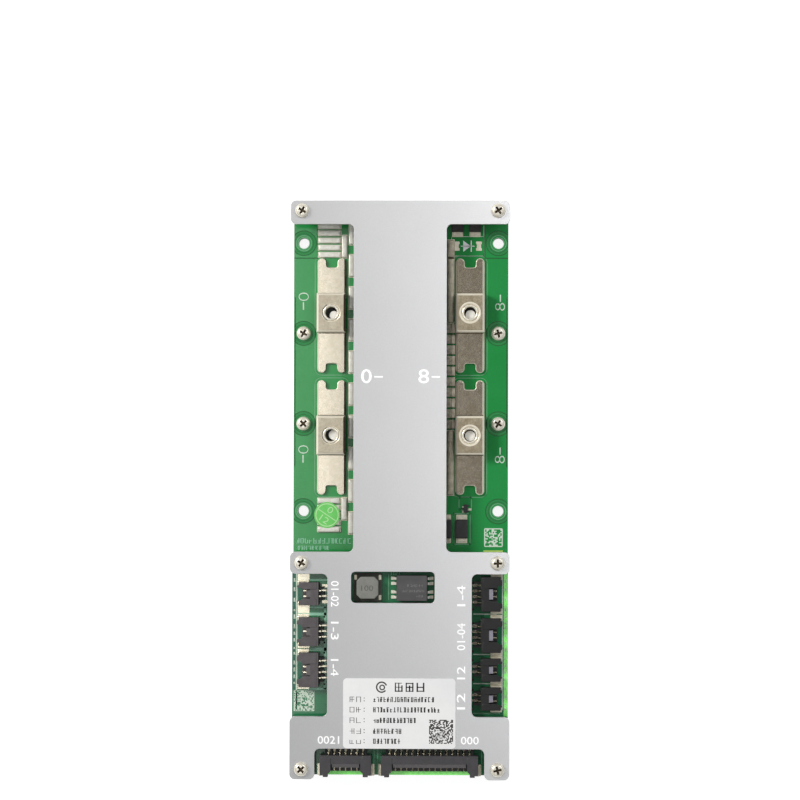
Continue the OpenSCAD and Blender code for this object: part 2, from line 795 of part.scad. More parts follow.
// Plan of one arm of a header, from its outer wall at x = 0 inwards, tapering to a round tip
module arm_plan(w) {
    corner = 0.2;
    step_gap = 0.12;
    bend_v = port_floor_d - 0.3;
    bend_l = 0.8;
    step_u = tab_return + step_gap;
    step_v = port_d - tab_inset - tab_t - step_gap;
    tip_in = min(widest_tip_in, tip_in_share * (w - step_u));
    polygon([
        [0, 0], [w, 0], [w, bend_v], [w - tip_in, bend_v + bend_l], [w - tip_in, port_d - corner],
        [w - tip_in - corner, port_d], [step_u, port_d], [step_u, step_v], [0, step_v]
    ]);
}

// Right-angle header housing: rear wall at y = 0, mouth towards +Y, seated on z = 0
module port_housing(pins) {
    l = port_l(pins);
    notch = port_notch(pins);
    arm_w = (l - notch) / 2;
    rear_step = 0.7;
    color("#333331") difference() {
        union() {
            translate([-l / 2, 0, 0]) cube([l, port_rear_d, port_h]);
            translate([-l / 2, 0, 0]) cube([l, port_floor_d, port_floor]);
            for (s = [0, 1]) mirror([s, 0, 0]) translate([-l / 2, 0, 0])
                linear_extrude(port_h + arm_lift) arm_plan(arm_w);
            translate([0, port_rear_d, port_h - port_roof]) lock_ramp(notch);
        }
        port_cavity(l, pins);
        for (s = [0, 1]) mirror([s, 0, 0]) translate([-l / 2 - through, -through, port_h])
            cube([through + arm_w, through + rear_step, through]);
    }
}

// Sloped edge of the notch that a plug's latch rides over
module lock_ramp(notch) {
    rotate([90, 0, 90]) linear_extrude(notch - 2 * ramp_side, center = true) polygon([
        [-port_wall, port_roof - ramp_step], [0, port_roof - ramp_step],
        [ramp_d, port_roof - ramp_step - ramp_drop], [ramp_d, -port_roof], [-port_wall, -port_roof]
    ]);
}

// Room for the plug between the floor, the roof and the end walls, and the pins' holes
module port_cavity(l, pins) {
    notch = port_notch(pins);
    room = port_h - port_roof - port_floor;
    translate([port_wall - l / 2, port_rear_wall, port_floor])
        cube([l - 2 * port_wall, port_rear_d - port_rear_wall, room]);
    for (s = [0, 1]) mirror([s, 0, 0]) translate([port_wall - l / 2, port_rear_wall, port_floor])
        cube([(l - notch) / 2 - port_wall, port_d, room]);
    translate([-notch / 2, port_rear_d, port_floor]) cube([notch, port_d, room - port_roof]);
    translate([port_wall - l / 2, port_floor_d, -through])
        cube([l - 2 * port_wall, port_d, port_floor + 2 * through]);
    for (k = [0 : pins - 1]) translate([(k - (pins - 1) / 2) * pin_pitch, 0, pin_z])
        cube([pin_w + 2 * pin_fit, 2 * port_rear_d, pin_w + 2 * pin_fit], center = true);
}

// Square pins through the rear wall, bent down behind it to feet on the board
module port_pins(pins) {
    top = pin_z + pin_w / 2;
    color("#d9d2b8") for (k = [0 : pins - 1]) translate([(k - (pins - 1) / 2) * pin_pitch, 0, 0])
        rotate([90, 0, 90]) linear_extrude(pin_w, center = true) polygon([
            [pin_reach, top], [-lead_drop_v, top], [-lead_drop_v, lead_foot_t],
            [-lead_foot_v, lead_foot_t], [-lead_foot_v, 0], [pin_w - lead_drop_v, 0],
            [pin_w - lead_drop_v, top - pin_w], [pin_reach, top - pin_w]
        ]);
}

// Solder tabs that hold a header's two ends down, with a short return round the mouth
module port_tab_pair(pins) {
    for (s = [0, 1]) mirror([s, 0, 0]) translate([port_l(pins) / 2, port_d - tab_l - tab_inset, 0]) {
        cube([tab_w, tab_l, tab_t]);
        cube([tab_t, tab_l, tab_h]);
        translate([-tab_return, tab_l - tab_t, 0]) cube([tab_return + tab_t, tab_t, tab_h]);
    }
}

// Frames of the three sets of headers: each turns local +Y towards the board's edge
module on_left(k) {
    translate([-side_port_x, port_bay_top - left_port_at[k], control_top]) rotate(90) children();
}
module on_right(k) {
    translate([side_port_x, port_bay_top - right_port_at[k], control_top]) rotate(-90) children();
}
module on_lower(k) {
    translate([lower_port_at[k], lower_port_y, control_top]) rotate(180) children();
}

module left_port_1_housing() { on_left(0) port_housing(left_pins[0]); }
module left_port_2_housing() { on_left(1) port_housing(left_pins[1]); }
module left_port_3_housing() { on_left(2) port_housing(left_pins[2]); }
module right_port_1_housing() { on_right(0) port_housing(right_pins[0]); }
module right_port_2_housing() { on_right(1) port_housing(right_pins[1]); }
module right_port_3_housing() { on_right(2) port_housing(right_pins[2]); }
module right_port_4_housing() { on_right(3) port_housing(right_pins[3]); }
module lower_port_1_housing() { on_lower(0) port_housing(lower_pins[0]); }
module lower_port_2_housing() { on_lower(1) port_housing(lower_pins[1]); }

module left_port_1_pins() { on_left(0) port_pins(left_pins[0]); }
module left_port_2_pins() { on_left(1) port_pins(left_pins[1]); }
module left_port_3_pins() { on_left(2) port_pins(left_pins[2]); }
module right_port_1_pins() { on_right(0) port_pins(right_pins[0]); }
module right_port_2_pins() { on_right(1) port_pins(right_pins[1]); }
module right_port_3_pins() { on_right(2) port_pins(right_pins[2]); }
module right_port_4_pins() { on_right(3) port_pins(right_pins[3]); }
module lower_port_1_pins() { on_lower(0) port_pins(lower_pins[0]); }
module lower_port_2_pins() { on_lower(1) port_pins(lower_pins[1]); }

module port_tabs() {
    color("#e8e4d6") {
        for (k = [0 : len(left_pins) - 1]) on_left(k) port_tab_pair(left_pins[k]);
        for (k = [0 : len(right_pins) - 1]) on_right(k) port_tab_pair(right_pins[k]);
        for (k = [0 : len(lower_pins) - 1]) on_lower(k) port_tab_pair(lower_pins[k]);
    }
}

module spacers(places, z, h) {
    color("#b8a36a") at(places) translate([0, 0, z]) difference() {
        cylinder(h = h, d = spacer_d);
        translate([0, 0, -through]) cylinder(h = h + 2 * through, d = hole_d);
    }
}

// Sleeves between the boards, from the control board to the cover, and at the terminal end
module board_spacers() { spacers(stack_screws, power_top, board_gap); }
module cover_spacers() { spacers(stack_screws, control_top, cover_gap); }
module end_spacers() { spacers(end_screws, power_top, cover_z - power_top); }

// Pan-head screw with a cross recess, its head seated on z = 0 and its shank below
module pan_screw(shank_l) {
    crown_r = 1.2;
    recess_l = 2.9;
    recess_w = 0.75;
    recess_depth = 1.1;
    neck = 0.1;
    difference() {
        union() {
            rotate_extrude() intersection() {
                square([head_d / 2, head_h]);
                union() {
                    square([head_d / 2, head_h - crown_r]);
                    square([head_d / 2 - crown_r, head_h]);
                    translate([head_d / 2 - crown_r, head_h - crown_r]) circle(crown_r);
                }
            }
            translate([0, 0, -shank_l]) cylinder(h = shank_l + neck, d = screw_d);
        }
        for (turn = [0, 90]) rotate(turn) translate([0, 0, head_h])
            cube([recess_l, recess_w, 2 * recess_depth], center = true);
    }
}

module cover_screws() {
    color("#e1e0dc") at(cover_screw_at) translate([0, 0, cover_top])
        pan_screw(cover_top - screw_end_gap);
}

module board_screws() {
    color("#e1e0dc") at(board_screw_at) translate([0, 0, power_top])
        pan_screw(power_top - screw_end_gap);
}

// Sticker on the cover just above the lower notch
module rating_label() {
    edge_gap = 0.1;
    corner_r = 1.4;
    color("#f4f4f2") translate([0, notch_d - cover_end + edge_gap + label_l / 2, cover_top])
        linear_extrude(label_t) round_rect(label_w, label_l, corner_r);
}

// Round sticker stuck across the lower ladder
module inspection_seal() {
    shift = 0.6;
    spot = [ladder_x - shift, lower_ladder_y - 2 * ladder_pitch, power_top + bar_h];
    color("#4fae5a") translate(spot) cylinder(h = label_t, d = seal_d);
}

base_plate();
insulating_sheet();
power_board();
control_board();
top_cover();
left_terminal_upper();
left_terminal_lower();
right_terminal_upper();
right_terminal_lower();
terminal_nuts();
web_bars();
upper_ladder_bars();
lower_ladder_bars();
shunt_side_bars();
shunt_resistors();
shunt_end_caps();
transistor_bodies();
transistor_leads();
gap_pads();
diode_bodies();
diode_terminals();
small_transistor();
inductor_core();
inductor_base();
module_body();
module_leads();
control_chips();
control_chip_leads();
balance_resistors();
board_link();
board_link_contacts();
left_port_1_housing();
left_port_2_housing();
left_port_3_housing();
right_port_1_housing();
right_port_2_housing();
right_port_3_housing();
right_port_4_housing();
lower_port_1_housing();
lower_port_2_housing();
left_port_1_pins();
left_port_2_pins();
left_port_3_pins();
right_port_1_pins();
right_port_2_pins();
right_port_3_pins();
right_port_4_pins();
lower_port_1_pins();
lower_port_2_pins();
port_tabs();
board_spacers();
cover_spacers();
end_spacers();
cover_screws();
board_screws();
rating_label();
inspection_seal();
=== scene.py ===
"""Dresses the battery management board: boards, cover, terminals, bars, headers, screws and stickers.

Lengths in the classes are millimetres in the part's own frame: X across the board, Y along it towards
the power terminals, Z up from the base plate.
"""

from __future__ import annotations

import json
import logging
import math
import random
from collections.abc import Callable, Iterable, Sequence
from dataclasses import dataclass, replace
from enum import Enum
from functools import cache

import bmesh
import bpy
from mathutils import Matrix, Vector, noise

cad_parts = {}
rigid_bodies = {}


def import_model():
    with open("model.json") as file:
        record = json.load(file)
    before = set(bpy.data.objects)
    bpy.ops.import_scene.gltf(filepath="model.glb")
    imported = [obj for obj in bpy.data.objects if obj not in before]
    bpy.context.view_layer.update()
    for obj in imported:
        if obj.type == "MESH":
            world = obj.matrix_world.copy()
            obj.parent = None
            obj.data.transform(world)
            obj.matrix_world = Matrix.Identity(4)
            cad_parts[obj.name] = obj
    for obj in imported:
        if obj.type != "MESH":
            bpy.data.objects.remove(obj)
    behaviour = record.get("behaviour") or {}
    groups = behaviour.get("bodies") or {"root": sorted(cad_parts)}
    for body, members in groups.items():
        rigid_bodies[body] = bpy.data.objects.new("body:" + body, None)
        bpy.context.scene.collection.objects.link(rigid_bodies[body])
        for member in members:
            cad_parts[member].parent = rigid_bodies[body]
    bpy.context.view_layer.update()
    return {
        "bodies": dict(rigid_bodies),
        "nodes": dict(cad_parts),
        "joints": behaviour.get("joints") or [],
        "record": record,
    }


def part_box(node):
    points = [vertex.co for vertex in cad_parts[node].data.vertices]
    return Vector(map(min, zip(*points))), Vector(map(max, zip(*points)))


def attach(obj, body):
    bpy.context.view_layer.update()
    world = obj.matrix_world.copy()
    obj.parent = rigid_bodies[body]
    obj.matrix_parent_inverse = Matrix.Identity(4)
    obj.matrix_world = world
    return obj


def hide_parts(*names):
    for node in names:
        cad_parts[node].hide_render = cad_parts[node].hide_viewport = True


LOG = logging.getLogger("board")
MM = 0.001
ROOT = "root"
# The CAD frame, filled by main()
FRAME: dict = {}
# Material number that marks the faces a bevel has just made
FRESH = 99
# A face whose normal rises more than this looks up
UPWARD = 0.97
# How far pads and rings reach into the surface under them, in millimetres
SUNK = 0.02
# Roughness of a clear coat
COAT_ROUGHNESS = 0.12
# How strongly the bump of a grain is shown
BUMP_STRENGTH = 0.6
# How far the noise bends the outlines of the crystals, in metres
CRYSTAL_BEND = 0.0004
# Height of a digit as a share of the built-in font's size
DIGIT_HEIGHT = 0.69
Point = tuple[float, float]
Box = tuple[Vector, Vector]
Mesh = bmesh.types.BMesh
Tree = bpy.types.NodeTree
Socket = bpy.types.NodeSocket


# ---------------------------------------------------------------- colour and nodes


def linear(code: str) -> tuple[float, float, float, float]:
    """Turns an sRGB hex colour into linear light.

    Args:
        code: Six hex digits after a hash sign.

    Returns:
        Linear red, green and blue, and full opacity.
    """
    parts = [int(code[k : k + 2], 16) / 255 for k in (1, 3, 5)]
    light = [p / 12.92 if p <= 0.04045 else ((p + 0.055) / 1.055) ** 2.4 for p in parts]
    return (*light, 1.0)


def add(
    tree: Tree,
    kind: str,
    values: dict[str | int, object] | None = None,
    links: dict[str | int, Socket] | None = None,
    **settings: object,
) -> bpy.types.Node:
    """Adds one node to a tree.

    Args:
        tree: The material's or the world's node tree.
        kind: Type of node.
        values: Constants for its input sockets, by name or number.
        links: Output sockets that feed its inputs, by name or number.
        **settings: Properties of the node itself.

    Returns:
        The new node.
    """
    node = tree.nodes.new(kind)
    for name, value in settings.items():
        setattr(node, name, value)
    for key, value in (values or {}).items():
        node.inputs[key].default_value = value
    for key, source in (links or {}).items():
        tree.links.new(source, node.inputs[key])
    return node


def emptied(owner: bpy.types.Material | bpy.types.World) -> Tree:
    """Gives a material or a world an empty node tree."""
    owner.use_nodes = True
    owner.node_tree.nodes.clear()
    return owner.node_tree


def cloud(tree: Tree, place: Socket, size: float, detail: float = 3.0, rough: float = 0.55) -> Socket:
    """Noise with features of a real size.

    Args:
        tree: The material's tree.
        place: Texture space, in metres.
        size: Size of a feature in millimetres.
        detail: Octaves.
        rough: Weight of the fine octaves.

    Returns:
        A value from 0 to 1.
    """
    values = {"Scale": 1 / (size * MM), "Detail": detail, "Roughness": rough}
    return add(tree, "ShaderNodeTexNoise", values, {"Vector": place}).outputs["Fac"]


def ramp(tree: Tree, value: Socket, low: float, high: float, top: float = 1.0) -> Socket:
    """Maps a value between two limits to 0 and top, smoothly."""
    limits = {"From Min": low, "From Max": high, "To Max": top}
    sources = {"Value": value}
    return add(
        tree, "ShaderNodeMapRange", limits, sources, interpolation_type="SMOOTHSTEP"
    ).outputs["Result"]


def mix(tree: Tree, share: Socket, first: Socket | str, second: Socket | str) -> Socket:
    """Mixes two colours, each a hex code or a socket.

    Args:
        tree: The material's tree.
        share: Share of the second colour.
        first: First colour.
        second: Second colour.

    Returns:
        The mixed colour.
    """
    # The sockets of a colour mix: 0 is the factor, 6 and 7 are the colours and output 2 is the result
    node = add(tree, "ShaderNodeMix", links={0: share}, data_type="RGBA")
    for key, value in ((6, first), (7, second)):
        if isinstance(value, str):
            node.inputs[key].default_value = linear(value)
        else:
            tree.links.new(value, node.inputs[key])
    return node.outputs[2]


# ---------------------------------------------------------------- finishes


class Slot(Enum):
    """Material slots of the part's record, one of which each print is handed."""

    ANODISED = "anodised_aluminium"
    MASK = "solder_mask_green"
    TIN = "tinned_copper"
    SOLDER = "solder_bright"
    NICKEL = "nickel_steel"
    NYLON = "black_nylon"
    EPOXY = "black_epoxy"
    FERRITE = "grey_ferrite"
    WHITE = "white_film"
    GREEN = "green_film"


@dataclass(frozen=True)
class Finish:
    """A surface with patches of tone, a fine grain and a bump that follows the grain.

    Attributes:
        name: Name of the material and of how it was made.
        colour: Main sRGB colour.
        shade: Colour of the patches.
        patch: Size of the patches in millimetres.
        patch_share: How strongly the patches show.
        grain: Size of the grain in millimetres.
        grain_tone: How strongly the grain darkens and lightens the colour.
        depth: Height of the grain in millimetres.
        metallic: 1 for a bare metal.
        rough: Lowest and highest roughness.
        coat: Weight of a clear layer over the surface.
        ior: Index of refraction, None to keep the usual one.
        stretch: Factors on the grain's size along X, Y and Z.
    """

    name: str
    colour: str
    shade: str
    patch: float = 12.0
    patch_share: float = 0.5
    grain: float = 0.5
    grain_tone: float = 0.08
    depth: float = 0.01
    metallic: float = 0.0
    rough: tuple[float, float] = (0.4, 0.55)
    coat: float = 0.0
    ior: float | None = None
    stretch: tuple[float, float, float] = (1.0, 1.0, 1.0)

    def make(self) -> bpy.types.Material:
        """Builds the material, or returns the one already built."""
        done = bpy.data.materials.get(self.name)
        if done:
            return done
        material = bpy.data.materials.new(self.name)
        tree = emptied(material)
        place = add(tree, "ShaderNodeTexCoord").outputs["Object"]
        grain = self.grain_pattern(tree, place)
        low, high = self.rough
        rough = add(tree, "ShaderNodeMapRange", {"To Min": low, "To Max": high}, {"Value": grain})
        height = {"Strength": BUMP_STRENGTH, "Distance": self.depth * MM}
        bump = add(tree, "ShaderNodeBump", height, {"Height": grain})
        shader = add(
            tree,
            "ShaderNodeBsdfPrincipled",
            {"Metallic": self.metallic, "Coat Weight": self.coat, "Coat Roughness": COAT_ROUGHNESS},
            {
                "Base Color": self.paint(tree, place, grain),
                "Roughness": rough.outputs["Result"],
                "Normal": bump.outputs["Normal"],
            },
        )
        if self.ior is not None:
            shader.inputs["IOR"].default_value = self.ior
        add(tree, "ShaderNodeOutputMaterial", links={"Surface": shader.outputs["BSDF"]})
        return material

    def grain_pattern(self, tree: Tree, place: Socket) -> Socket:
        """The fine texture of the surface, drawn out along the axes by the stretch."""
        scale = tuple(1 / s for s in self.stretch)
        drawn = add(tree, "ShaderNodeMapping", {"Scale": scale}, {"Vector": place}).outputs["Vector"]
        return cloud(tree, drawn, self.grain)

    def paint(self, tree: Tree, place: Socket, grain: Socket) -> Socket:
        """Colour with its patches and grain."""
        patches = ramp(tree, cloud(tree, place, self.patch, 4.0), 0.35, 0.68, self.patch_share)
        base = mix(tree, patches, self.colour, self.shade)
        return mix(tree, ramp(tree, grain, 0.3, 0.7, self.grain_tone), base, "#101010")


@dataclass(frozen=True)
class Crystalline(Finish):
    """Dull tin plate: small crystal grains, each of its own tone, mixed with a fine noise.

    Attributes:
        crystal: Size of a crystal in millimetres.
    """

    crystal: float = 0.8

    def grain_pattern(self, tree: Tree, place: Socket) -> Socket:
        """Crystal cells mixed with fine noise."""
        scale = {"Scale": 1 / (self.crystal * MM)}
        drift = add(tree, "ShaderNodeTexNoise", {**scale, "Detail": 2.0}, {"Vector": place})
        bend = add(
            tree,
            "ShaderNodeVectorMath",
            {1: (CRYSTAL_BEND,) * 3},
            {0: drift.outputs["Color"]},
            operation="MULTIPLY",
        )
        sources = {0: place, 1: bend.outputs["Vector"]}
        bent = add(tree, "ShaderNodeVectorMath", links=sources, operation="ADD").outputs["Vector"]
        cells = add(tree, "ShaderNodeTexVoronoi", scale, {"Vector": bent}).outputs["Color"]
        parts = {0: cells, 1: cloud(tree, place, self.grain)}
        both = add(tree, "ShaderNodeMath", links=parts, operation="ADD").outputs[0]
        return add(tree, "ShaderNodeMath", {1: 0.5}, {0: both}, operation="MULTIPLY").outputs[0]


@dataclass(frozen=True)
class Mask(Finish):
    """Solder mask: a glassy green film whose tone follows the copper under it.

    Its main colour is the one over copper.

    Attributes:
        gap: Colour over bare laminate.
        pour: Size of the copper areas in millimetres.
        seam: How strongly the gaps show.
    """

    gap: str = "#175F2B"
    pour: float = 9.0
    seam: float = 0.05

    def paint(self, tree: Tree, place: Socket, grain: Socket) -> Socket:
        """Film colour, darker along the gaps between the copper areas."""
        patches = ramp(tree, cloud(tree, place, self.patch, 3.0), 0.3, 0.7, self.patch_share)
        film = mix(tree, patches, self.colour, self.shade)
        pours = {
            "Scale": 1.0,
            "Brick Width": self.pour * MM,
            "Row Height": self.pour * 0.7 * MM,
            "Mortar Size": 0.12 * MM,
            "Mortar Smooth": 0.4,
        }
        weave = add(tree, "ShaderNodeTexBrick", pours, {"Vector": place}).outputs["Fac"]
        film = mix(tree, ramp(tree, weave, 0.0, 1.0, self.seam), film, self.gap)
        return mix(tree, ramp(tree, grain, 0.35, 0.7, self.grain_tone), film, self.gap)


@dataclass(frozen=True)
class Alloy(Finish):
    """Resistance alloy strip: rolled metal, mottled by the heat of soldering."""

    def paint(self, tree: Tree, place: Socket, grain: Socket) -> Socket:
        """Heat tint in small irregular patches."""
        tint = ramp(tree, cloud(tree, place, self.patch, 5.0, 0.7), 0.4, 0.62, self.patch_share)
        return mix(tree, tint, self.colour, self.shade)


# Clear-anodised aluminium, bead blasted: an even satin grey with a very fine sparkle
ANODISED = Finish(
    "anodised_aluminium_blasted", "#B9B9BA", "#AFAFB1", patch=70, patch_share=0.35, grain=0.35,
    grain_tone=0.05, depth=0.004, metallic=0.6, rough=(0.3, 0.38),
)
# Broken edges of the same aluminium: smoother, drawn along, and brighter as painted highlight
DEBURRED_HIGHLIGHT = replace(
    ANODISED, name="anodised_aluminium_edge_highlight", colour="#E4E4E4", shade="#D2D2D4", patch=4,
    patch_share=0.4, grain=0.3, grain_tone=0.04, rough=(0.3, 0.42),
)
# Rolled aluminium plate: long fine lines from the rollers
MILL = Finish(
    "aluminium_mill_finish", "#B4B6BA", "#9FA1A6", patch=18, depth=0.0025, metallic=1.0,
    rough=(0.38, 0.46), stretch=(1.0, 5.0, 1.0),
)
# Epoxy solder mask over thick copper on the power board: glassy, mid green
POWER_MASK = Mask(
    "solder_mask_on_fr4_power", "#219044", "#2F9A52", patch=22, grain=0.7, grain_tone=0.1,
    depth=0.004, rough=(0.1, 0.18), ior=1.5,
)
# The same film over the fine tracks of the control board, a little lighter
CONTROL_MASK = replace(
    POWER_MASK, name="solder_mask_on_fr4_control", colour="#22764C", shade="#2B7E50", patch=9,
    patch_share=0.6, grain=0.5, grain_tone=0.16, depth=0.006, rough=(0.1, 0.2), gap="#185438",
    pour=6.0,
)
# Mask over the bare laminate in the ring that is kept free of copper: a deeper green
RING_MASK = replace(
    POWER_MASK, name="solder_mask_over_laminate", colour="#218A44", shade="#1D8040", patch=8,
    grain=0.5, grain_tone=0.12, rough=(0.24, 0.36), gap="#1E8240",
)
# The fine step where a ring's film drops off the copper
DEEP_GREEN = Finish(
    "solder_mask_step", "#115224", "#0E4A20", patch=3, grain=0.4, grain_tone=0.1, depth=0.004,
    rough=(0.3, 0.4), ior=1.5,
)
# Film over a copper strip along the control board's edges, far brighter as painted sheen
LIME_MASK_SHEEN = replace(
    RING_MASK, name="solder_mask_over_bright_copper", colour="#80FF66", shade="#7CEE66", patch=3,
    grain_tone=0.1, rough=(0.2, 0.3), gap="#6CEC54", pour=4.0,
)
# Dark teal film in the left bay beside the headers and along the edge: painted shade
TEAL_MASK_SHADE = replace(
    RING_MASK, name="solder_mask_painted_shade_teal", colour="#2C6854", shade="#30705C", patch=2.5,
    rough=(0.2, 0.3), gap="#245A48",
)
# Pale mint: the power board's small writing, and bands of painted sheen in the left bay
MINT_PRINT_AND_SHEEN = Finish(
    "mint_print_and_painted_sheen", "#A4DCC0", "#90CCAE", patch=1.5, grain=0.3, grain_tone=0.1,
    depth=0.004, rough=(0.3, 0.4),
)
# Wall of a small drilled hole, in shadow
HOLE = Finish(
    "bare_drilled_hole", "#101512", "#18201A", patch=0.5, grain=0.2, depth=0.004, rough=(0.6, 0.8),
)
# Routed edge of FR-4: pale glass cloth in yellowish resin, dull
LAMINATE = Finish(
    "fr4_routed_edge", "#8FA25E", "#6E8A48", patch=2, grain=0.25, grain_tone=0.25, depth=0.03,
    rough=(0.6, 0.8), ior=1.5, stretch=(6.0, 6.0, 0.7),
)
# Stamped copper with a dull tin plate: warm, softly mirroring, nearly even
TIN = Crystalline(
    "tin_plate_on_copper", "#D8CFBC", "#CEC4AE", patch=2.5, patch_share=0.55, grain_tone=0.06,
    depth=0.0004, metallic=1.0, rough=(0.13, 0.18),
)
# The right-hand straps, whose plate shows its crystals
TIN_MOTTLED = replace(
    TIN, name="tin_plate_mottled", colour="#F4E6CE", shade="#DCCAAC", patch=2.0, patch_share=0.6,
    grain=0.18, grain_tone=0.42, depth=0.0012, rough=(0.14, 0.24), crystal=0.35,
)
# The same plate on the raised part, rubbed matt by bolt heads
TIN_RUBBED = replace(
    TIN, name="tin_plate_rubbed_matt", colour="#DDD3BD", shade="#CABEA5", patch=3.0,
    patch_share=0.6, grain=0.25, grain_tone=0.14, depth=0.004, rough=(0.34, 0.44), crystal=0.5,
)
# Raised part of the right-hand straps, darker and browner: painted dark reflection
TIN_RUBBED_SHADED = replace(
    TIN_RUBBED, name="tin_plate_rubbed_painted_shade", colour="#C4B79D", shade="#A6987D", patch=2.4,
    grain=0.3, grain_tone=0.24,
)
# Dark tin as painted shade: left straps' walls facing the middle, and each strap's bend lines
TIN_PAINTED_SHADE = Finish(
    "tin_plate_painted_shade", "#5E5346", "#7C6F5E", patch=1.8, patch_share=0.6, grain=0.3,
    grain_tone=0.2, depth=0.006, metallic=0.5,
)
# Bent and sheared strap edges and walls, smeared smooth by the tool; pale as painted highlight
TIN_EDGE_HIGHLIGHT = Finish(
    "tin_plate_edge_painted_highlight", "#FBF3E0", "#EEE3CC", patch=2.5, patch_share=0.4, grain=0.3,
    grain_tone=0.03, depth=0.006, metallic=0.35, rough=(0.28, 0.4),
)
# Wave-soldered coat on the bars: bright, thick and slightly wavy
SOLDER = Finish(
    "solder_coat_bright", "#F2F0E8", "#DAD6C4", patch=1.6, grain=0.8, grain_tone=0.03, depth=0.012,
    metallic=0.38, rough=(0.3, 0.42),
)
# Solder round the shunts and on their caps, darker and browner: painted shade of the web
SOLDER_SHADED = replace(
    SOLDER, name="solder_coat_painted_shade", colour="#CFC6B2", shade="#A1967F", patch=2.2, patch_share=0.7,
    grain=0.4, grain_tone=0.1, depth=0.03, metallic=0.7, rough=(0.3, 0.5),
)
# Solder on pads and lead feet, creamier from flux
PAD = Finish(
    "solder_on_pads", "#EFE9D6", "#D8CEB0", patch=1.2, grain=0.35, grain_tone=0.06, depth=0.03,
    metallic=0.5, rough=(0.28, 0.45),
)
# Solder of the left-hand tabs and pads, whiter and more mirroring: painted light
PAD_LIT = replace(
    PAD, name="solder_on_tabs_bright", colour="#FFF8E2", shade="#F3E8C8", grain_tone=0.05,
    depth=0.008, metallic=0.6, rough=(0.16, 0.26),
)
# Tin-plated brass of the header pins and lead feet
PIN = Finish(
    "tin_plate_on_brass_pins", "#E9E2CE", "#D6C9A4", patch=1.0, grain=0.2, grain_tone=0.05,
    depth=0.006, metallic=1.0, rough=(0.14, 0.24),
)
# The same wire behind the right-hand and lower housings, darker: painted shade
PIN_SHADED = replace(PIN, name="tin_plate_on_brass_pins_painted_shade", colour="#9C9480", shade="#7E7664")
# Tinned land under a nut, raised up the bore as a near-white stub: painted light
LAND_PAINTED_LIGHT = Finish(
    "tin_on_land_bright", "#FAF9F6", "#EDEBE6", patch=1.5, grain=0.3, grain_tone=0.05, depth=0.004,
    metallic=0.1, rough=(0.4, 0.5),
)
# Screw heads and press nuts: thin pale plate, frosted by the tumbling drum
SCREW_NICKEL = Finish(
    "nickel_plate_frosted", "#FFFAEC", "#E9E0CA", patch=0.9, patch_share=0.6, grain=0.2,
    depth=0.012, metallic=0.45, rough=(0.2, 0.34),
)
# The same plate in the driver recess, dark brown and patchy
RECESS = Finish(
    "nickel_plate_dark_recess", "#3E2F1E", "#9C8C70", patch=0.45, patch_share=0.6, grain=0.2,
    grain_tone=0.2, depth=0.02, metallic=0.5, rough=(0.3, 0.5),
)
# Turned brass sleeves: fine rings from the tool
BRASS = Finish(
    "brass_turned", "#C9AE6A", "#B0924E", patch=3, grain=0.2, grain_tone=0.12, metallic=1.0,
    rough=(0.24, 0.38), stretch=(4.0, 4.0, 0.6),
)
# Glass-filled nylon straight from the mould: nearly black, satin, with faint flow marks
NYLON = Finish(
    "nylon_glass_filled_moulded", "#121112", "#1A181A", patch=2.6, patch_share=0.6, grain=0.3,
    grain_tone=0.1, depth=0.015, rough=(0.36, 0.52), ior=1.53,
)
# The nylon of the left-hand headers, paler: painted sheen of the glare from the left
NYLON_SHEEN = replace(
    NYLON, name="nylon_glass_filled_painted_sheen", colour="#565052", shade="#646064", patch=2.2,
    grain_tone=0.12, rough=(0.4, 0.55),
)
# The two lower headers, a grey between the left-hand and right-hand ones
NYLON_DARK_GREY = replace(
    NYLON_SHEEN, name="nylon_glass_filled_lower_grey", colour="#3F3D40", shade="#4A474A",
)
# The slope of the left-hand and lower headers, hardly worn
NYLON_SLOPE = replace(
    NYLON_SHEEN, name="nylon_matt_ramp", colour="#5E5A5C", shade="#686466", patch=1.0,
    patch_share=0.5, grain_tone=0.08, depth=0.008, rough=(0.35, 0.5),
)
# Polished slope of the right-hand headers, that a latch rides over; pale lilac as painted reflection
NYLON_RAMP_REFLECTION = replace(
    NYLON_SLOPE, name="nylon_ramp_painted_reflection", colour="#B9B4C4", shade="#CFCBD8", grain_tone=0.05,
    depth=0.006, rough=(0.16, 0.26),
)
# Moulded epoxy of the power parts: matt, nearly black, faintly speckled by its filler
EPOXY = Finish(
    "epoxy_moulding_compound", "#2B2A2B", "#353436", patch=1.8, patch_share=0.6, grain=0.16,
    grain_tone=0.2, depth=0.012, rough=(0.4, 0.6), ior=1.55,
)
# Lighter epoxy of the module in the window, with the dust of its laser marking
EPOXY_GREY = replace(
    EPOXY, name="epoxy_moulding_laser_dusted", colour="#4E4D4E", shade="#5A595A", patch=3.5,
    grain=0.2, grain_tone=0.22, rough=(0.42, 0.6),
)
# Pressed and ground ferrite: mid grey and chalky
FERRITE = Finish(
    "ferrite_ground", "#8B8B86", "#7C7C77", patch=2.2, grain=0.2, grain_tone=0.16, depth=0.02,
    rough=(0.5, 0.68),
)
# Ferrite sides, darker than the ground top as painted shade, and its clay-like base
FERRITE_SHADE_AND_BASE = replace(
    FERRITE, name="ferrite_painted_shade_and_base", colour="#565850", shade="#66645A", patch=1.2, grain_tone=0.2,
    rough=(0.55, 0.75),
)
# Manganin strip of the shunts, tinted by soldering: olive grey and mottled
SHUNT = Alloy(
    "manganin_strip_heat_tinted", "#B5B09C", "#7C766A", patch=1.0, patch_share=0.8, grain=0.2,
    metallic=0.6, rough=(0.35, 0.5), stretch=(3.0, 1.0, 1.0),
)
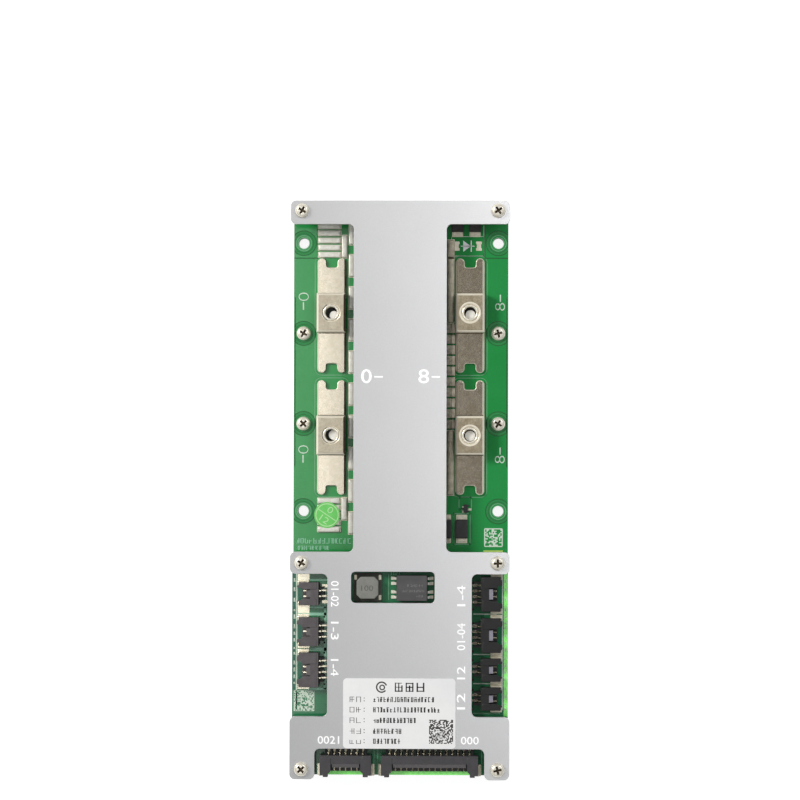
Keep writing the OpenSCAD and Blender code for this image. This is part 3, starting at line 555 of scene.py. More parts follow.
# Filled silicone: matt grey-blue with a calendered skin
SILICONE = Finish(
    "silicone_pad_filled", "#8A9098", "#7E848C", patch=4, grain_tone=0.1, depth=0.03,
    rough=(0.7, 0.85), ior=1.41,
)
# Satin polyester film of the sticker, with a very slight waviness
FILM = Finish(
    "polyester_film_satin_white", "#FAFAFA", "#F0F0F3", patch_share=0.6, grain=1.5, grain_tone=0.01,
    depth=0.008, rough=(0.3, 0.4), coat=0.2,
)
# Thermal-transfer ink: dark warm grey, slightly broken up
INK = Finish(
    "resin_ink_black", "#33322F", "#5A5852", patch=0.5, grain=0.2, grain_tone=0.1, depth=0.003,
    rough=(0.45, 0.6),
)
# Laser writing on the module, a shade paler than its epoxy
LASER_MARK = replace(
    INK, name="epoxy_laser_mark", colour="#8A8A8A", shade="#747474", patch=0.6, depth=0.004,
    rough=(0.6, 0.75),
)
# Ink of the value on the inductor, barely darker than the ferrite
FERRITE_MARK = replace(
    INK, name="ferrite_ink_mark", colour="#5C5C58", shade="#6A6A66", patch=1, depth=0.004,
    rough=(0.5, 0.65),
)
# White epoxy ink of the board's legend
LEGEND = Finish(
    "epoxy_ink_white_legend", "#DDEBDD", "#BFD8C2", patch=0.9, patch_share=0.6, grain=0.25,
    depth=0.006, rough=(0.5, 0.65),
)
# The same ink where only a thin coat was laid, so the green shows through
LEGEND_THIN = replace(
    LEGEND, name="epoxy_ink_thin_legend", colour="#7FB890", shade="#6CA87E", patch=1.2,
    patch_share=0.5, grain_tone=0.1, depth=0.004, rough=(0.4, 0.55),
)
# Yellow-green ink of the mark beside the power board's square of cells
YELLOW_MARK = replace(
    LEGEND_THIN, name="epoxy_ink_yellow_green", colour="#B6D86A", shade="#A4C85C", patch=1.5,
    grain=0.3, grain_tone=0.06, rough=(0.5, 0.6),
)
# Screen-printed white on the cover
COVER_INK = Finish(
    "screen_ink_white", "#FBFBFB", "#F0F0F2", patch=1.5, grain=0.3, grain_tone=0.02, depth=0.006,
    rough=(0.4, 0.5),
)
# Fluorescent green paper-backed film of the round sticker
GREEN_FILM = Finish(
    "polyester_film_green", "#74D86C", "#6ACE62", patch=3, patch_share=0.6, grain=0.8,
    grain_tone=0.04, rough=(0.35, 0.5),
)
# Pale green print on that sticker
GREEN_PRINT = replace(
    COVER_INK, name="screen_ink_pale_green", colour="#C6EFB4", shade="#B4E6A4", grain_tone=0.04,
    depth=0.004, rough=(0.4, 0.55),
)


# ---------------------------------------------------------------- mesh helpers


@cache
def island_boxes(node: str) -> tuple[Box, ...]:
    """Finds the separate solids of a CAD node.

    Args:
        node: Name of the node.

    Returns:
        Lowest and highest corner of each, in metres, in a fixed order.
    """
    bm = copied(node)
    left, found = set(bm.verts), []
    while left:
        stack = [left.pop()]
        group = list(stack)
        while stack:
            for edge in stack.pop().link_edges:
                for v in edge.verts:
                    if v in left:
                        left.discard(v)
                        stack.append(v)
                        group.append(v)
        low = Vector(min(v.co[k] for v in group) for k in range(3))
        high = Vector(max(v.co[k] for v in group) for k in range(3))
        found.append((low, high))
    bm.free()
    return tuple(sorted(found, key=lambda b: tuple(round(c, 5) for c in (*b[0], *b[1]))))


def measure(low: Vector, high: Vector) -> Box:
    """Size and middle, in millimetres, of a box given by its corners in metres."""
    return (high - low) / MM, (high + low) / 2 / MM


def top_of(node: str) -> float:
    """Height of a CAD node's top in millimetres."""
    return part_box(node)[1].z / MM


def copied(node: str) -> Mesh:
    """A welded copy of a CAD node's mesh with its flat faces made whole."""
    bm = bmesh.new()
    bm.from_mesh(FRAME["nodes"][node].data)
    bmesh.ops.remove_doubles(bm, verts=bm.verts, dist=1e-6)
    bmesh.ops.dissolve_limit(
        bm, angle_limit=math.radians(1), verts=bm.verts, edges=bm.edges, use_dissolve_boundaries=False
    )
    for face in bm.faces:
        area = face.calc_area()
        near = [
            other.calc_area()
            for edge in face.edges
            if 0.01 < edge.calc_face_angle(0) < 0.6
            for other in edge.link_faces
            if other is not face
        ]
        face.smooth = bool(near) and area < 3 * max(near)
    return bm


def piece(
    bm: Mesh,
    name: str,
    finishes: Sequence[Finish],
    replaced: Iterable[str] = (),
    smooth: float | None = 35.0,
) -> bpy.types.Object:
    """Turns a mesh into a piece that rides with the board.

    Args:
        bm: The mesh, in metres in the part's frame. It is freed.
        name: Name of the piece.
        finishes: One finish for each material number that the faces use.
        replaced: CAD nodes that it stands for.
        smooth: Edges that turn by more than this angle in degrees stay sharp, None for all flat.

    Returns:
        The object.
    """
    mesh = bpy.data.meshes.new(name)
    bmesh.ops.recalc_face_normals(bm, faces=bm.faces)
    if smooth is not None:
        for edge in bm.edges:
            edge.smooth = edge.calc_face_angle(0) < math.radians(smooth)
    bm.to_mesh(mesh)
    bm.free()
    for finish in finishes:
        mesh.materials.append(finish.make())
    thing = bpy.data.objects.new(name, mesh)
    bpy.context.scene.collection.objects.link(thing)
    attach(thing, ROOT)
    for node in replaced:
        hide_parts(node)
    LOG.info("%s: %d faces", name, len(mesh.polygons))
    return thing


def softened(
    node: str,
    name: str,
    finishes: Sequence[Finish],
    width: float,
    segments: int = 2,
    angle: float = 40.0,
) -> None:
    """Turns a CAD node into a piece with rounded edges.

    Args:
        node: Name of the node.
        name: Name of the piece.
        finishes: Its finishes.
        width: Width of the rounding in millimetres.
        segments: Number of steps across it.
        angle: Edges that turn by more than this, in degrees, are rounded.
    """
    bm = copied(node)
    bevel(bm, width, segments, angle)
    piece(bm, name, finishes, [node])


def dress(node: str, *finishes: Finish, choose: Callable[[bpy.types.MeshPolygon], int] | None = None) -> None:
    """Gives a CAD node its finishes.

    Args:
        node: Name of the node.
        *finishes: Finishes for its material slots.
        choose: Picks the slot for a face. All faces take the first without it.
    """
    mesh = FRAME["nodes"][node].data
    mesh.materials.clear()
    for finish in finishes:
        mesh.materials.append(finish.make())
    for face in mesh.polygons:
        face.material_index = choose(face) if choose else 0
    LOG.info("%s: %s", node, finishes[0].name)


def bevel(
    bm: Mesh,
    width: float,
    segments: int = 2,
    angle: float = 40.0,
    material: int = -1,
    only: Callable[[bmesh.types.BMEdge], bool] | None = None,
) -> None:
    """Rounds the sharp edges of a mesh.

    Args:
        bm: The mesh.
        width: Width of the rounding in millimetres.
        segments: Number of steps across it.
        angle: Edges that turn by more than this, in degrees, are rounded.
        material: Material number of the new faces, or -1 to keep that of their neighbours.
        only: Picks among the sharp edges.
    """
    limit = math.radians(angle)
    edges = [
        e
        for e in bm.edges
        if len(e.link_faces) == 2 and e.calc_face_angle(0) > limit and (only is None or only(e))
    ]
    bmesh.ops.bevel(
        bm,
        geom=edges,
        offset=width * MM,
        offset_type="OFFSET",
        segments=segments,
        profile=0.5,
        affect="EDGES",
        clamp_overlap=True,
        material=FRESH,
        loop_slide=True,
    )
    waiting = {f for f in bm.faces if f.material_index == FRESH}
    for face in waiting:
        face.smooth = True
        if material >= 0:
            face.material_index = material
    while material < 0 and waiting:
        known = {
            f: g.material_index for f in waiting for e in f.edges for g in e.link_faces if g not in waiting
        }
        if not known:
            break
        for face, index in known.items():
            face.material_index = index
        waiting -= set(known)


def slab(bm: Mesh, outline: Sequence[Point], low: float, high: float, material: int = 0) -> None:
    """Adds a flat plate with an outline in millimetres between two heights."""
    rings = [[bm.verts.new((x * MM, y * MM, z * MM)) for x, y in outline] for z in (low, high)]
    faces = [bm.faces.new(rings[0][::-1]), bm.faces.new(rings[1])]
    count = len(outline)
    for k in range(count):
        n = (k + 1) % count
        faces.append(bm.faces.new((rings[0][k], rings[0][n], rings[1][n], rings[1][k])))
    for face in faces:
        face.material_index = material


def lay(bm: Mesh, outline: Sequence[Point], level: float, thick: float) -> None:
    """Lays a thin plate on a surface, sunk a hair into it so that no gap shows."""
    slab(bm, outline, level - SUNK, level + thick)


def rounded(x: float, y: float, w: float, h: float, r: float, steps: int = 6) -> list[Point]:
    """Outline of a rectangle with round corners, centred on a point."""
    points = []
    for k, (sx, sy) in enumerate(((1, 1), (-1, 1), (-1, -1), (1, -1))):
        cx, cy = x + sx * (w / 2 - r), y + sy * (h / 2 - r)
        for n in range(steps + 1):
            a = math.radians(90 * k + 90 * n / steps)
            points.append((cx + r * math.cos(a), cy + r * math.sin(a)))
    return points


def disc(x: float, y: float, radius: float) -> list[Point]:
    """Outline of a disc centred on a point."""
    return rounded(x, y, radius * 2, radius * 2, radius - 0.01)


def annulus(
    bm: Mesh,
    centre: Point,
    inner: float,
    outer: float,
    low: float,
    high: float,
    steps: int = 48,
    arc: tuple[float, float] = (0.0, 360.0),
) -> None:
    """Adds a flat ring, or a stretch of one, with radii and heights in millimetres."""
    whole = abs(arc[1] - arc[0]) >= 360
    count = steps if whole else steps + 1
    loops = []
    for k in range(count):
        a = math.radians(arc[0] + (arc[1] - arc[0]) * k / steps)
        c, s = math.cos(a), math.sin(a)
        loops.append(
            [
                bm.verts.new(((centre[0] + r * c) * MM, (centre[1] + r * s) * MM, z * MM))
                for r, z in ((inner, low), (outer, low), (outer, high), (inner, high))
            ]
        )
    for k in range(count if whole else count - 1):
        a, b = loops[k], loops[(k + 1) % count]
        for n in range(4):
            m = (n + 1) % 4
            bm.faces.new((a[n], b[n], b[m], a[m]))
    if not whole:
        bm.faces.new(loops[0][::-1])
        bm.faces.new(loops[-1])


class Print:
    """Flat print laid on a surface: bars, frames, rings and plain numerals in one mesh."""

    def __init__(self, name: str, surface: float, finish: Finish, slot: Slot, thick: float = 0.02) -> None:
        """Starts an empty print.

        Args:
            name: Name of the piece.
            surface: Height of the surface in millimetres.
            finish: The ink.
            slot: Slot of the record; kept, but not used.
            thick: Thickness of the ink in millimetres.
        """
        self.bm = bmesh.new()
        self.name, self.finish, self.slot = name, finish, slot
        self.low, self.high = surface - thick / 2, surface + thick

    def shape(self, outline: Sequence[Point]) -> None:
        """Prints a filled outline."""
        slab(self.bm, outline, self.low, self.high)

    def bar(self, x: float, y: float, w: float, h: float, turn: float = 0.0) -> None:
        """Prints a filled rectangle centred on a point, turned by degrees."""
        c, s = math.cos(math.radians(turn)), math.sin(math.radians(turn))
        corners = ((-w / 2, -h / 2), (w / 2, -h / 2), (w / 2, h / 2), (-w / 2, h / 2))
        self.shape([(x + u * c - v * s, y + u * s + v * c) for u, v in corners])

    def frame(self, x: float, y: float, w: float, h: float, r: float, width: float) -> None:
        """Prints the outline of a round-cornered rectangle as a line of even width."""
        points = rounded(x, y, w, h, r)
        for (ax, ay), (bx, by) in zip(points, points[1:] + points[:1]):
            length = math.hypot(bx - ax, by - ay)
            turn = math.degrees(math.atan2(by - ay, bx - ax))
            self.bar((ax + bx) / 2, (ay + by) / 2, length + width * 0.6, width, turn)

    def ring(
        self, x: float, y: float, radius: float, width: float, arc: tuple[float, float] = (0.0, 360.0)
    ) -> None:
        """Prints a ring or an arc."""
        annulus(
            self.bm, (x, y), radius - width / 2, radius + width / 2, self.low, self.high, arc=arc
        )

    def numerals(
        self, text: str, x: float, y: float, w: float, h: float, turn: float = 0.0, weight: float = 0.0
    ) -> None:
        """Prints plain numerals that fill a box centred on a point.

        Args:
            text: Digits and dashes.
            x: Centre across the board.
            y: Centre along the board.
            w: Length of the writing in millimetres.
            h: Height of a digit.
            turn: Direction of reading in degrees from +X.
            weight: How much thicker each stroke is, in millimetres.
        """
        curve = bpy.data.curves.new("numerals", "FONT")
        curve.body = text
        curve.extrude = 0.5
        curve.size = h / DIGIT_HEIGHT
        curve.offset = weight
        curve.resolution_u = 3
        thing = bpy.data.objects.new("numerals", curve)
        bpy.context.scene.collection.objects.link(thing)
        mesh = bpy.data.meshes.new_from_object(
            thing.evaluated_get(bpy.context.evaluated_depsgraph_get())
        )
        spans = [
            (min(v.co[k] for v in mesh.vertices), max(v.co[k] for v in mesh.vertices)) for k in (0, 1)
        ]
        centre = Vector(((spans[0][0] + spans[0][1]) / 2, (spans[1][0] + spans[1][1]) / 2, 0))
        fit = (w / (spans[0][1] - spans[0][0]), h / (spans[1][1] - spans[1][0]), self.high - self.low)
        mesh.transform(
            Matrix.Translation((x * MM, y * MM, (self.high + self.low) / 2 * MM))
            @ Matrix.Rotation(math.radians(turn), 4, "Z")
            @ Matrix.Diagonal((*(f * MM for f in fit), 1))
            @ Matrix.Translation(-centre)
        )
        self.bm.from_mesh(mesh)
        bpy.data.objects.remove(thing)
        bpy.data.curves.remove(curve)
        bpy.data.meshes.remove(mesh)

    def strokes(
        self,
        x: float,
        y: float,
        w: float,
        h: float,
        seed: int,
        stroke: float,
        pitch: float | None = None,
    ) -> None:
        """Prints a row of small meaningless stroke clusters, the size of a line of writing.

        Args:
            x: Centre across the board.
            y: Centre along the board.
            w: Length of the row in millimetres.
            h: Height of the row.
            seed: Seed of the pattern.
            stroke: Width of an upright stroke.
            pitch: Distance from one cluster to the next.
        """
        rng = random.Random(seed)
        count = max(1, round(w / (pitch or h * 0.8)))
        for k in range(count):
            middle = x + (k - (count - 1) / 2) * w / count
            cell = w / count * 0.72
            for place in rng.sample((-0.5, 0.0, 0.5), rng.choice((1, 2, 2))):
                rise = rng.choice((1.0, 1.0, 0.7))
                across = middle + place * (cell - stroke)
                self.bar(across, y + (rise - 1) * h / 2, stroke, h * rise)
            for place in rng.sample((-0.5, 0.0, 0.5), rng.choice((1, 2))):
                self.bar(middle, y + place * (h - stroke), cell * rng.choice((1.0, 0.8)), stroke * 0.7)

    def matrix(self, x: float, y: float, size: float, count: int, seed: int, share: float = 0.5) -> None:
        """Prints a square of random cells, joined along each row."""
        rng = random.Random(seed)
        cell = size / count
        for i in range(count):
            run = 0
            for j in range(count + 1):
                if j < count and rng.random() < share:
                    run += 1
                elif run:
                    across = x - size / 2 + (j - run / 2) * cell
                    self.bar(across, y + size / 2 - (i + 0.5) * cell, run * cell, cell)
                    run = 0

    def done(self) -> bpy.types.Object:
        """Turns the print into a piece."""
        return piece(self.bm, self.name, [self.finish], smooth=None)


# ---------------------------------------------------------------- sub-assemblies


@dataclass
class Boards:
    """Base plate, insulating sheet and the two circuit boards with their rings and legends.

    Attributes:
        holes: Places of the mounting holes.
        screws: Places of the board screws.
        hole_d: Diameter of a mounting hole.
        half_width: Half the width within which rings are laid.
        land: Outer diameter of the bright ring round a mounting hole.
        relief: Outer diameter of the copper-free ring round a hole or screw.
        marks: Places of the terminal marks beside the straps.
    """

    holes: tuple[Point, ...] = ((-34.5, 87.2), (34.5, 87.2), (-34.5, -7.8), (34.5, -7.8))
    screws: tuple[Point, ...] = ((-34.5, 55.2), (34.5, 55.2), (-34.5, 23.2), (34.5, 23.2))
    hole_d: float = 3.8
    half_width: float = 37.95
    land: float = 5.5
    relief: float = 8.8
    left_marks: tuple[Point, ...] = ((-34.55, 66.6), (-34.55, 12.4))
    right_marks: tuple[Point, ...] = ((35.1, 66.2), (35.1, 12.1))

    def build(self) -> None:
        """Dresses both boards and lays their print."""
        dress("base_plate", MILL)
        dress("insulating_sheet", SILICONE)
        for node, finish in (("power_board", POWER_MASK), ("control_board", CONTROL_MASK)):
            dress(node, finish, LAMINATE, choose=lambda face: int(abs(face.normal.z) < 0.5))
        self.top = top_of("power_board")
        self.control = top_of("control_board")
        self.rings()
        self.power_legend()
        self.control_legend()

    def rings(self) -> None:
        """Copper-free rings in a deeper green, with their fine borders."""
        deep = bmesh.new()
        border = Print("power_board_ring_borders", self.top, LEGEND_THIN, Slot.MASK, 0.03)
        groove = bmesh.new()
        outer = self.relief / 2
        for place in self.holes:
            self.cut_ring(deep, place, self.land / 2, outer, 0.02)
            border.ring(*place, self.land / 2, 0.2)
            border.ring(*place, self.hole_d / 2 + 0.16, 0.2)
            self.cut_ring(groove, place, outer - 0.15, outer + 0.1, 0.03)
            self.cut_ring(groove, place, 3.3, 3.45, 0.03)
        for place in self.screws:
            self.cut_ring(deep, place, 2.0, outer - 0.1, 0.02)
            self.cut_ring(groove, place, outer - 0.25, outer, 0.03)
            self.cut_ring(groove, place, 3.1, 3.3, 0.03)
        piece(deep, "power_board_rings", [RING_MASK], smooth=None)
        piece(groove, "power_board_ring_edges", [DEEP_GREEN], smooth=None)
        border.done()

    def cut_ring(self, bm: Mesh, place: Point, inner: float, outer: float, thick: float) -> None:
        """Adds a ring that stops short of the board's long edge.

        Args:
            bm: The mesh.
            place: Centre of the ring.
            inner: Its inner radius.
            outer: Its outer radius.
            thick: Its height above the board.
        """
        room = self.half_width - abs(place[0])
        middle = 0.0 if place[0] > 0 else 180.0
        gap = math.degrees(math.acos(min(1.0, room / outer)))
        low, high = self.top - SUNK, self.top + thick
        annulus(bm, place, inner, outer, low, high, arc=(middle + gap, middle + 360 - gap))
        if inner < room - 0.1 and gap > 0:
            annulus(bm, place, inner, room, low, high, steps=12, arc=(middle - gap, middle + gap))

    def power_legend(self) -> None:
        """White legend of the power board."""
        ink = Print("power_board_legend", self.top, LEGEND, Slot.WHITE)
        for x, y in self.left_marks:
            ink.numerals("0", x, y + 1.6, 3.0, 3.6, -90, -0.12)
            ink.bar(x - 0.1, y - 1.7, 0.42, 2.7)
        for x, y in self.right_marks:
            ink.numerals("8", x, y - 1.5, 2.7, 3.5, 90, -0.08)
            ink.bar(x + 0.1, y + 1.5, 0.42, 2.5)
        # Diode sign between its two spare pads, in film whiter than the legend: painted light in the cover's
        # shadow
        sign = Print("power_board_diode_sign", self.top, FILM, Slot.WHITE, 0.03)
        sign.shape([(22.0, 84.2), (24.7, 86.2), (22.0, 88.2)])
        sign.bar(24.85, 86.2, 0.35, 4.0)
        sign.bar(23.6, 86.2, 4.8, 0.25)
        sign.done()
        ink.frame(23.6, 86.15, 11.4, 6.9, 0.3, 0.2)
        ink.bar(29.3, 88.2, 0.25, 10.6)
        seams = Print("power_board_copper_seams", self.top, DEEP_GREEN, Slot.MASK)
        for side in (-1, 1):
            seams.bar(side * 33.8, 81.9, 8.4, 0.3)
            seams.bar(side * 29.75, 87.3, 0.25, 10.8)
            seams.bar(side * 37.55, 38.0, 0.3, 60.0)
        seams.done()
        thin = Print("power_board_thin_legend", self.top, LEGEND_THIN, Slot.WHITE)
        for side in (-1, 1):
            for y0, y1 in ((41.2, 81.8), (-2.0, 38.6)):
                thin.frame(side * 24.5, (y0 + y1) / 2, 12.0, y1 - y0 + 1.6, 2.2, 0.22)
        # Two rows of writing are kept as rows of strokes
        rows = Print("power_board_writing", self.top, MINT_PRINT_AND_SHEEN, Slot.WHITE)
        rows.strokes(-27.3, -18.4, 19.8, 1.9, 11, 0.26, pitch=1.5)
        rows.strokes(-31.0, -20.9, 11.8, 1.5, 12, 0.24, pitch=1.3)
        rows.done()
        # Outline of the lower diodes and of the part beside them
        thin.frame(21.7, -14.0, 5.9, 10.9, 0.3, 0.32)
        thin.bar(18.9, -14.0, 0.3, 10.9)
        thin.frame(22.9, -5.0, 4.4, 4.6, 0.6, 0.3)
        thin.done()
        ink.shape(rounded(32.9, -17.05, 6.6, 6.6, 0.5))
        ink.done()
        cells = Print("power_board_cells", self.top + 0.01, POWER_MASK, Slot.MASK, 0.03)
        cells.matrix(32.9, -17.05, 5.8, 13, 21, 0.55)
        cells.done()
        bar = Print("power_board_spare_mark", self.top, YELLOW_MARK, Slot.WHITE)
        bar.bar(32.8, -21.9, 6.9, 0.7)
        bar.done()

    def control_legend(self) -> None:
        """Legend of the control board, in the strips beside the headers."""
        ink = Print("control_board_legend", self.control, LEGEND, Slot.WHITE)
        rng = random.Random(5)
        for side in (-1, 1):
            ink.bar(side * (36.4 if side < 0 else 36.1), -52.5, 0.5 if side < 0 else 0.34, 50.0)
            y = -32.0
            while y > -78:
                length = rng.uniform(0.7, 1.6)
                if not (side < 0 and y < -69):
                    ink.bar(side * 37.2, y, 0.5, length)
                    ink.bar(side * 36.95, y - length * 0.3, 0.3, length * 0.4)
                y -= length + rng.uniform(0.8, 2.4)
        ink.shape(rounded(-33.75, -74.5, 7.3, 7.3, 0.2))
        # Pale mint bands in the left bay: painted sheen on the glossy film
        bands = Print("control_board_sheen_bands", self.control, MINT_PRINT_AND_SHEEN, Slot.WHITE)
        bands.bar(-29.0, -31.9, 6.9, 0.7)
        bands.bar(-29.0, -41.6, 6.9, 0.5)
        bands.bar(-30.9, -43.95, 10.6, 1.0)
        bands.bar(-28.8, -56.4, 6.6, 1.2)
        bands.bar(-29.2, -70.3, 8.0, 0.7)
        bands.bar(-26.3, -52.0, 0.9, 37.0)
        bands.done()
        for y in (-43.76, -57.95, -68.2):
            ink.bar(29.9, y, 8.2, 0.4)
        ink.done()
        cells = Print("control_board_cells", self.control + 0.01, CONTROL_MASK, Slot.MASK, 0.03)
        cells.matrix(-33.75, -74.5, 7.0, 18, 22, 0.34)
        cells.done()
        # Edge strips in a lime far brighter than the film: painted sheen
        lime = Print("control_board_lime_sheen_strips", self.control, LIME_MASK_SHEEN, Slot.MASK, 0.015)
        lime.bar(37.25, -54.6, 1.4, 50.2)
        lime.bar(-19.5, -99.75, 16.0, 1.3)
        lime.bar(10.0, -99.75, 30.0, 1.3)
        lime.done()
        holes = Print("control_board_locating_holes", self.control, HOLE, Slot.NYLON, 0.03)
        for y in (-33.7, -39.9, -44.9, -54.0, -57.6, -68.6):
            holes.ring(-26.6, y, 0.06, 0.55)
        for y in (-32.9, -42.1, -47.0, -56.9, -60.0, -66.9, -70.4, -77.4):
            holes.ring(25.6, y, 0.22, 0.42)
        holes.done()
        # Dark teal patches beside the left headers and along the edge: painted shade
        bare = Print("control_board_painted_shade_strips", self.control, TEAL_MASK_SHADE, Slot.MASK, 0.012)
        bare.bar(-37.3, -50.0, 1.3, 41.0)
        for y, h in ((-36.8, 4.2), (-50.1, 4.8), (-63.8, 5.8)):
            bare.shape(rounded(-34.9, y, 1.9, h, 0.2))
        bare.done()
        thin = Print("control_board_thin_legend", self.control, LEGEND_THIN, Slot.WHITE)
        thin.bar(30.6, -78.6, 9.5, 0.25)
        for x in (-9.0, -7.7, 28.9):
            thin.bar(x, -95.5, 0.22, 9.5)
        thin.bar(-4.0, -34.4, 0.2, 9.0)
        thin.strokes(-1.5, -29.6, 4.0, 1.2, 31, 0.18)
        thin.done()


@dataclass
class Cover:
    """The cut-out cover with its broken edges and white marks.

    Attributes:
        edge: Radius of the broken edges.
        left_ports: Pin range, place along the board and length of each mark beside the left headers.
        right_ports: The same for the right headers.
    """

    edge: float = 0.28
    left_ports: tuple[tuple[str, float, float], ...] = (
        ("01-02", -36.5, 9.0),
        ("1-3", -49.4, 6.3),
        ("1-4", -62.3, 5.9),
    )
    right_ports: tuple[tuple[str, float, float], ...] = (
        ("1-4", -37.1, 7.2),
        ("01-04", -51.4, 9.4),
        ("12", -64.0, 4.5),
        ("12", -74.0, 5.6),
    )

    def build(self) -> None:
        """Rounds the cover's edges and prints its marks."""
        bm = copied("top_cover")
        # The rounded edges take the brighter aluminium: painted highlight
        bevel(bm, self.edge, 3, material=1)
        piece(bm, "cover_plate", [ANODISED, DEBURRED_HIGHLIGHT], ["top_cover"])
        ink = Print("cover_marks", top_of("top_cover"), COVER_INK, Slot.WHITE)
        for x, text in ((-11.8, "0"), (8.3, "8")):
            ink.numerals(text, x, 39.8, 3.8, 5.0, 0, 0.05)
            ink.bar(x + 4.25, 39.6, 3.0, 0.55)
        for text, y, length in self.left_ports:
            ink.numerals(text, -22.68, y, length, 2.75, -90, 0.03)
        for text, y, length in self.right_ports:
            ink.numerals(text, 21.6, y, length, 2.9, 90, 0.03)
        ink.numerals("0021", -24.8, -87.65, 7.6, 2.75, 0, 0.04)
        ink.numerals("000", 24.7, -87.65, 6.3, 2.75, 0, 0.04)
        ink.done()


@dataclass
class Terminals:
    """Stamped hat straps with their press nuts.

    Attributes:
        border: Radius of the rounded top edges, pale tin as painted highlight.
        edge: Radius of the other edges.
        sheet: Thickness of a strap.
        collar: Diameter of the nut's collar in the strap.
        around: Points round a nut.
        rise: Levels of points along its thread.
        pitch: Pitch of the thread.
        thread: Radius at the thread's crest.
        groove: Depth of the thread.
        well: Radius of the dark disc on the board under a nut, painted shade in its bore.
        stub: How far below a nut's top the bright stub on its land ends.
        bend: How far the painted shade line at a bend lies outside the raised part's flat.
        lands: Offset and radius of the tinned land under each nut, a bright stub of painted light.
    """

    border: float = 0.6
    edge: float = 0.1
    sheet: float = 1.5
    collar: float = 6.04
    around: int = 64
    rise: int = 48
    pitch: float = 0.8
    thread: float = 2.1
    groove: float = 0.38
    well: float = 2.7
    bend: float = 0.85
    stub: float = 2.4
    lands: tuple[tuple[float, float, float], ...] = (
        (0.95, 0.1, 1.75),
        (1.0, -0.95, 1.6),
        (0.1, -0.15, 1.8),
        (0.15, -0.75, 1.75),
    )

    def build(self) -> None:
        """Builds the four straps and the four nuts."""
        for node in (
            "left_terminal_upper",
            "left_terminal_lower",
            "right_terminal_upper",
            "right_terminal_lower",
        ):
            self.strap(node)
        self.nuts(island_boxes("terminal_nuts"))

    def strap(self, node: str) -> None:
        """Rounds one strap's broken edges, paints their highlight and the shade of walls and bends.

        Args:
            node: CAD node that it replaces.
        """
        bm = copied(node)
        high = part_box(node)[1].z
        for face in bm.faces:
            raised = face.calc_center_median().z > high - 0.1 * MM
            face.material_index = 1 if face.normal.z < UPWARD else 2 * int(raised)
        bevel(
            bm,
            self.border,
            3,
            angle=60,
            material=1,
            only=lambda e: e.is_convex and any(f.normal.z > UPWARD for f in e.link_faces),
        )
        bevel(bm, self.edge, 2, angle=50, material=1)
        left = node.startswith("left")
        # On the left straps the walls facing the middle take the dark tin: painted shade
        for face in bm.faces:
            if left and face.material_index == 1 and face.normal.x > 0.35:
                face.material_index = 3
        flat = max(v.co.z for f in bm.faces if f.material_index == 0 for v in f.verts)
        rows = [v.co.y for f in bm.faces if f.material_index == 2 for v in f.verts]
        sides = [v.co.x for f in bm.faces if f.material_index == 2 for v in f.verts]
        x, wide = (min(sides) + max(sides)) / 2 / MM, (max(sides) - min(sides)) / MM
        # A dark line beside each bend of the raised part: painted shade in the crease
        for y in (min(rows) / MM - self.bend, max(rows) / MM + self.bend):
            line = rounded(x, y, wide + self.border, 0.4, 0.15, 3)
            slab(bm, line, flat / MM - 0.05, flat / MM + 0.012, 3)
        finishes = [TIN, TIN_EDGE_HIGHLIGHT, TIN_RUBBED] if left else [TIN_MOTTLED, TIN_EDGE_HIGHLIGHT, TIN_RUBBED_SHADED]
        piece(bm, f"{node}_strap", [*finishes, TIN_PAINTED_SHADE], [node])

    def nuts(self, boxes: Sequence[Box]) -> None:
        """Builds the press nuts, what shows round them, and painted shade and light in each bore.

        Args:
            boxes: Lowest and highest corner of each nut.
        """
        bm = bmesh.new()
        for low, high in boxes:
            self.nut(bm, low, high)
        piece(bm, "press_nuts", [SCREW_NICKEL], ["terminal_nuts"], smooth=50)
        halo, lands, wells = bmesh.new(), bmesh.new(), bmesh.new()
        top = max(high.z for _, high in boxes) / MM
        board = top_of("power_board")
        for box, (dx, dy, radius) in zip(boxes, self.lands):
            x, y, _ = measure(*box)[1]
            # A pressed ring round each right-hand nut, in the pale edge tin: painted highlight
            if x > 0:
                annulus(halo, (x, y), 3.25, 3.85, top - SUNK, top + 0.02, steps=64)
            # A dark disc and a bright stub in each bore: painted shade and painted light
            lay(wells, disc(x, y, self.well), board, 0.04)
            slab(lands, disc(x + dx, y + dy, radius), board - SUNK, top - self.stub)
        bevel(halo, 0.015, 1, angle=60)
        piece(halo, "nut_press_marks", [TIN_EDGE_HIGHLIGHT], smooth=None)
        piece(lands, "painted_light_under_nuts", [LAND_PAINTED_LIGHT], smooth=None)
        piece(wells, "painted_shade_under_nuts", [EPOXY], smooth=None)

    def nut(self, bm: Mesh, low: Vector, high: Vector) -> None:
        """Adds one nut: a bore with a real helical thread, and the turned outside.

        Args:
            bm: The mesh.
            low: Lowest corner of the nut.
            high: Its highest corner.
        """
        x, y = (low.x + high.x) / 2, (low.y + high.y) / 2
        body, collar = (high.x - low.x) / 2, (self.collar - 0.04) / 2 * MM
        foot, top, crest = low.z, high.z, self.thread * MM
        shoulder = top - (self.sheet + 0.15) * MM
        mouth = top - 0.3 * MM

        def level(z: float, radii: Sequence[float]) -> list[bmesh.types.BMVert]:
            """Adds the points of one level, each at its own radius."""
            turns = [(r, math.tau * k / self.around) for k, r in enumerate(radii)]
            return [bm.verts.new((x + r * math.cos(a), y + r * math.sin(a), z)) for r, a in turns]

        rows = []
        for j in range(self.rise + 1):
            z = foot + (mouth - foot) * j / self.rise
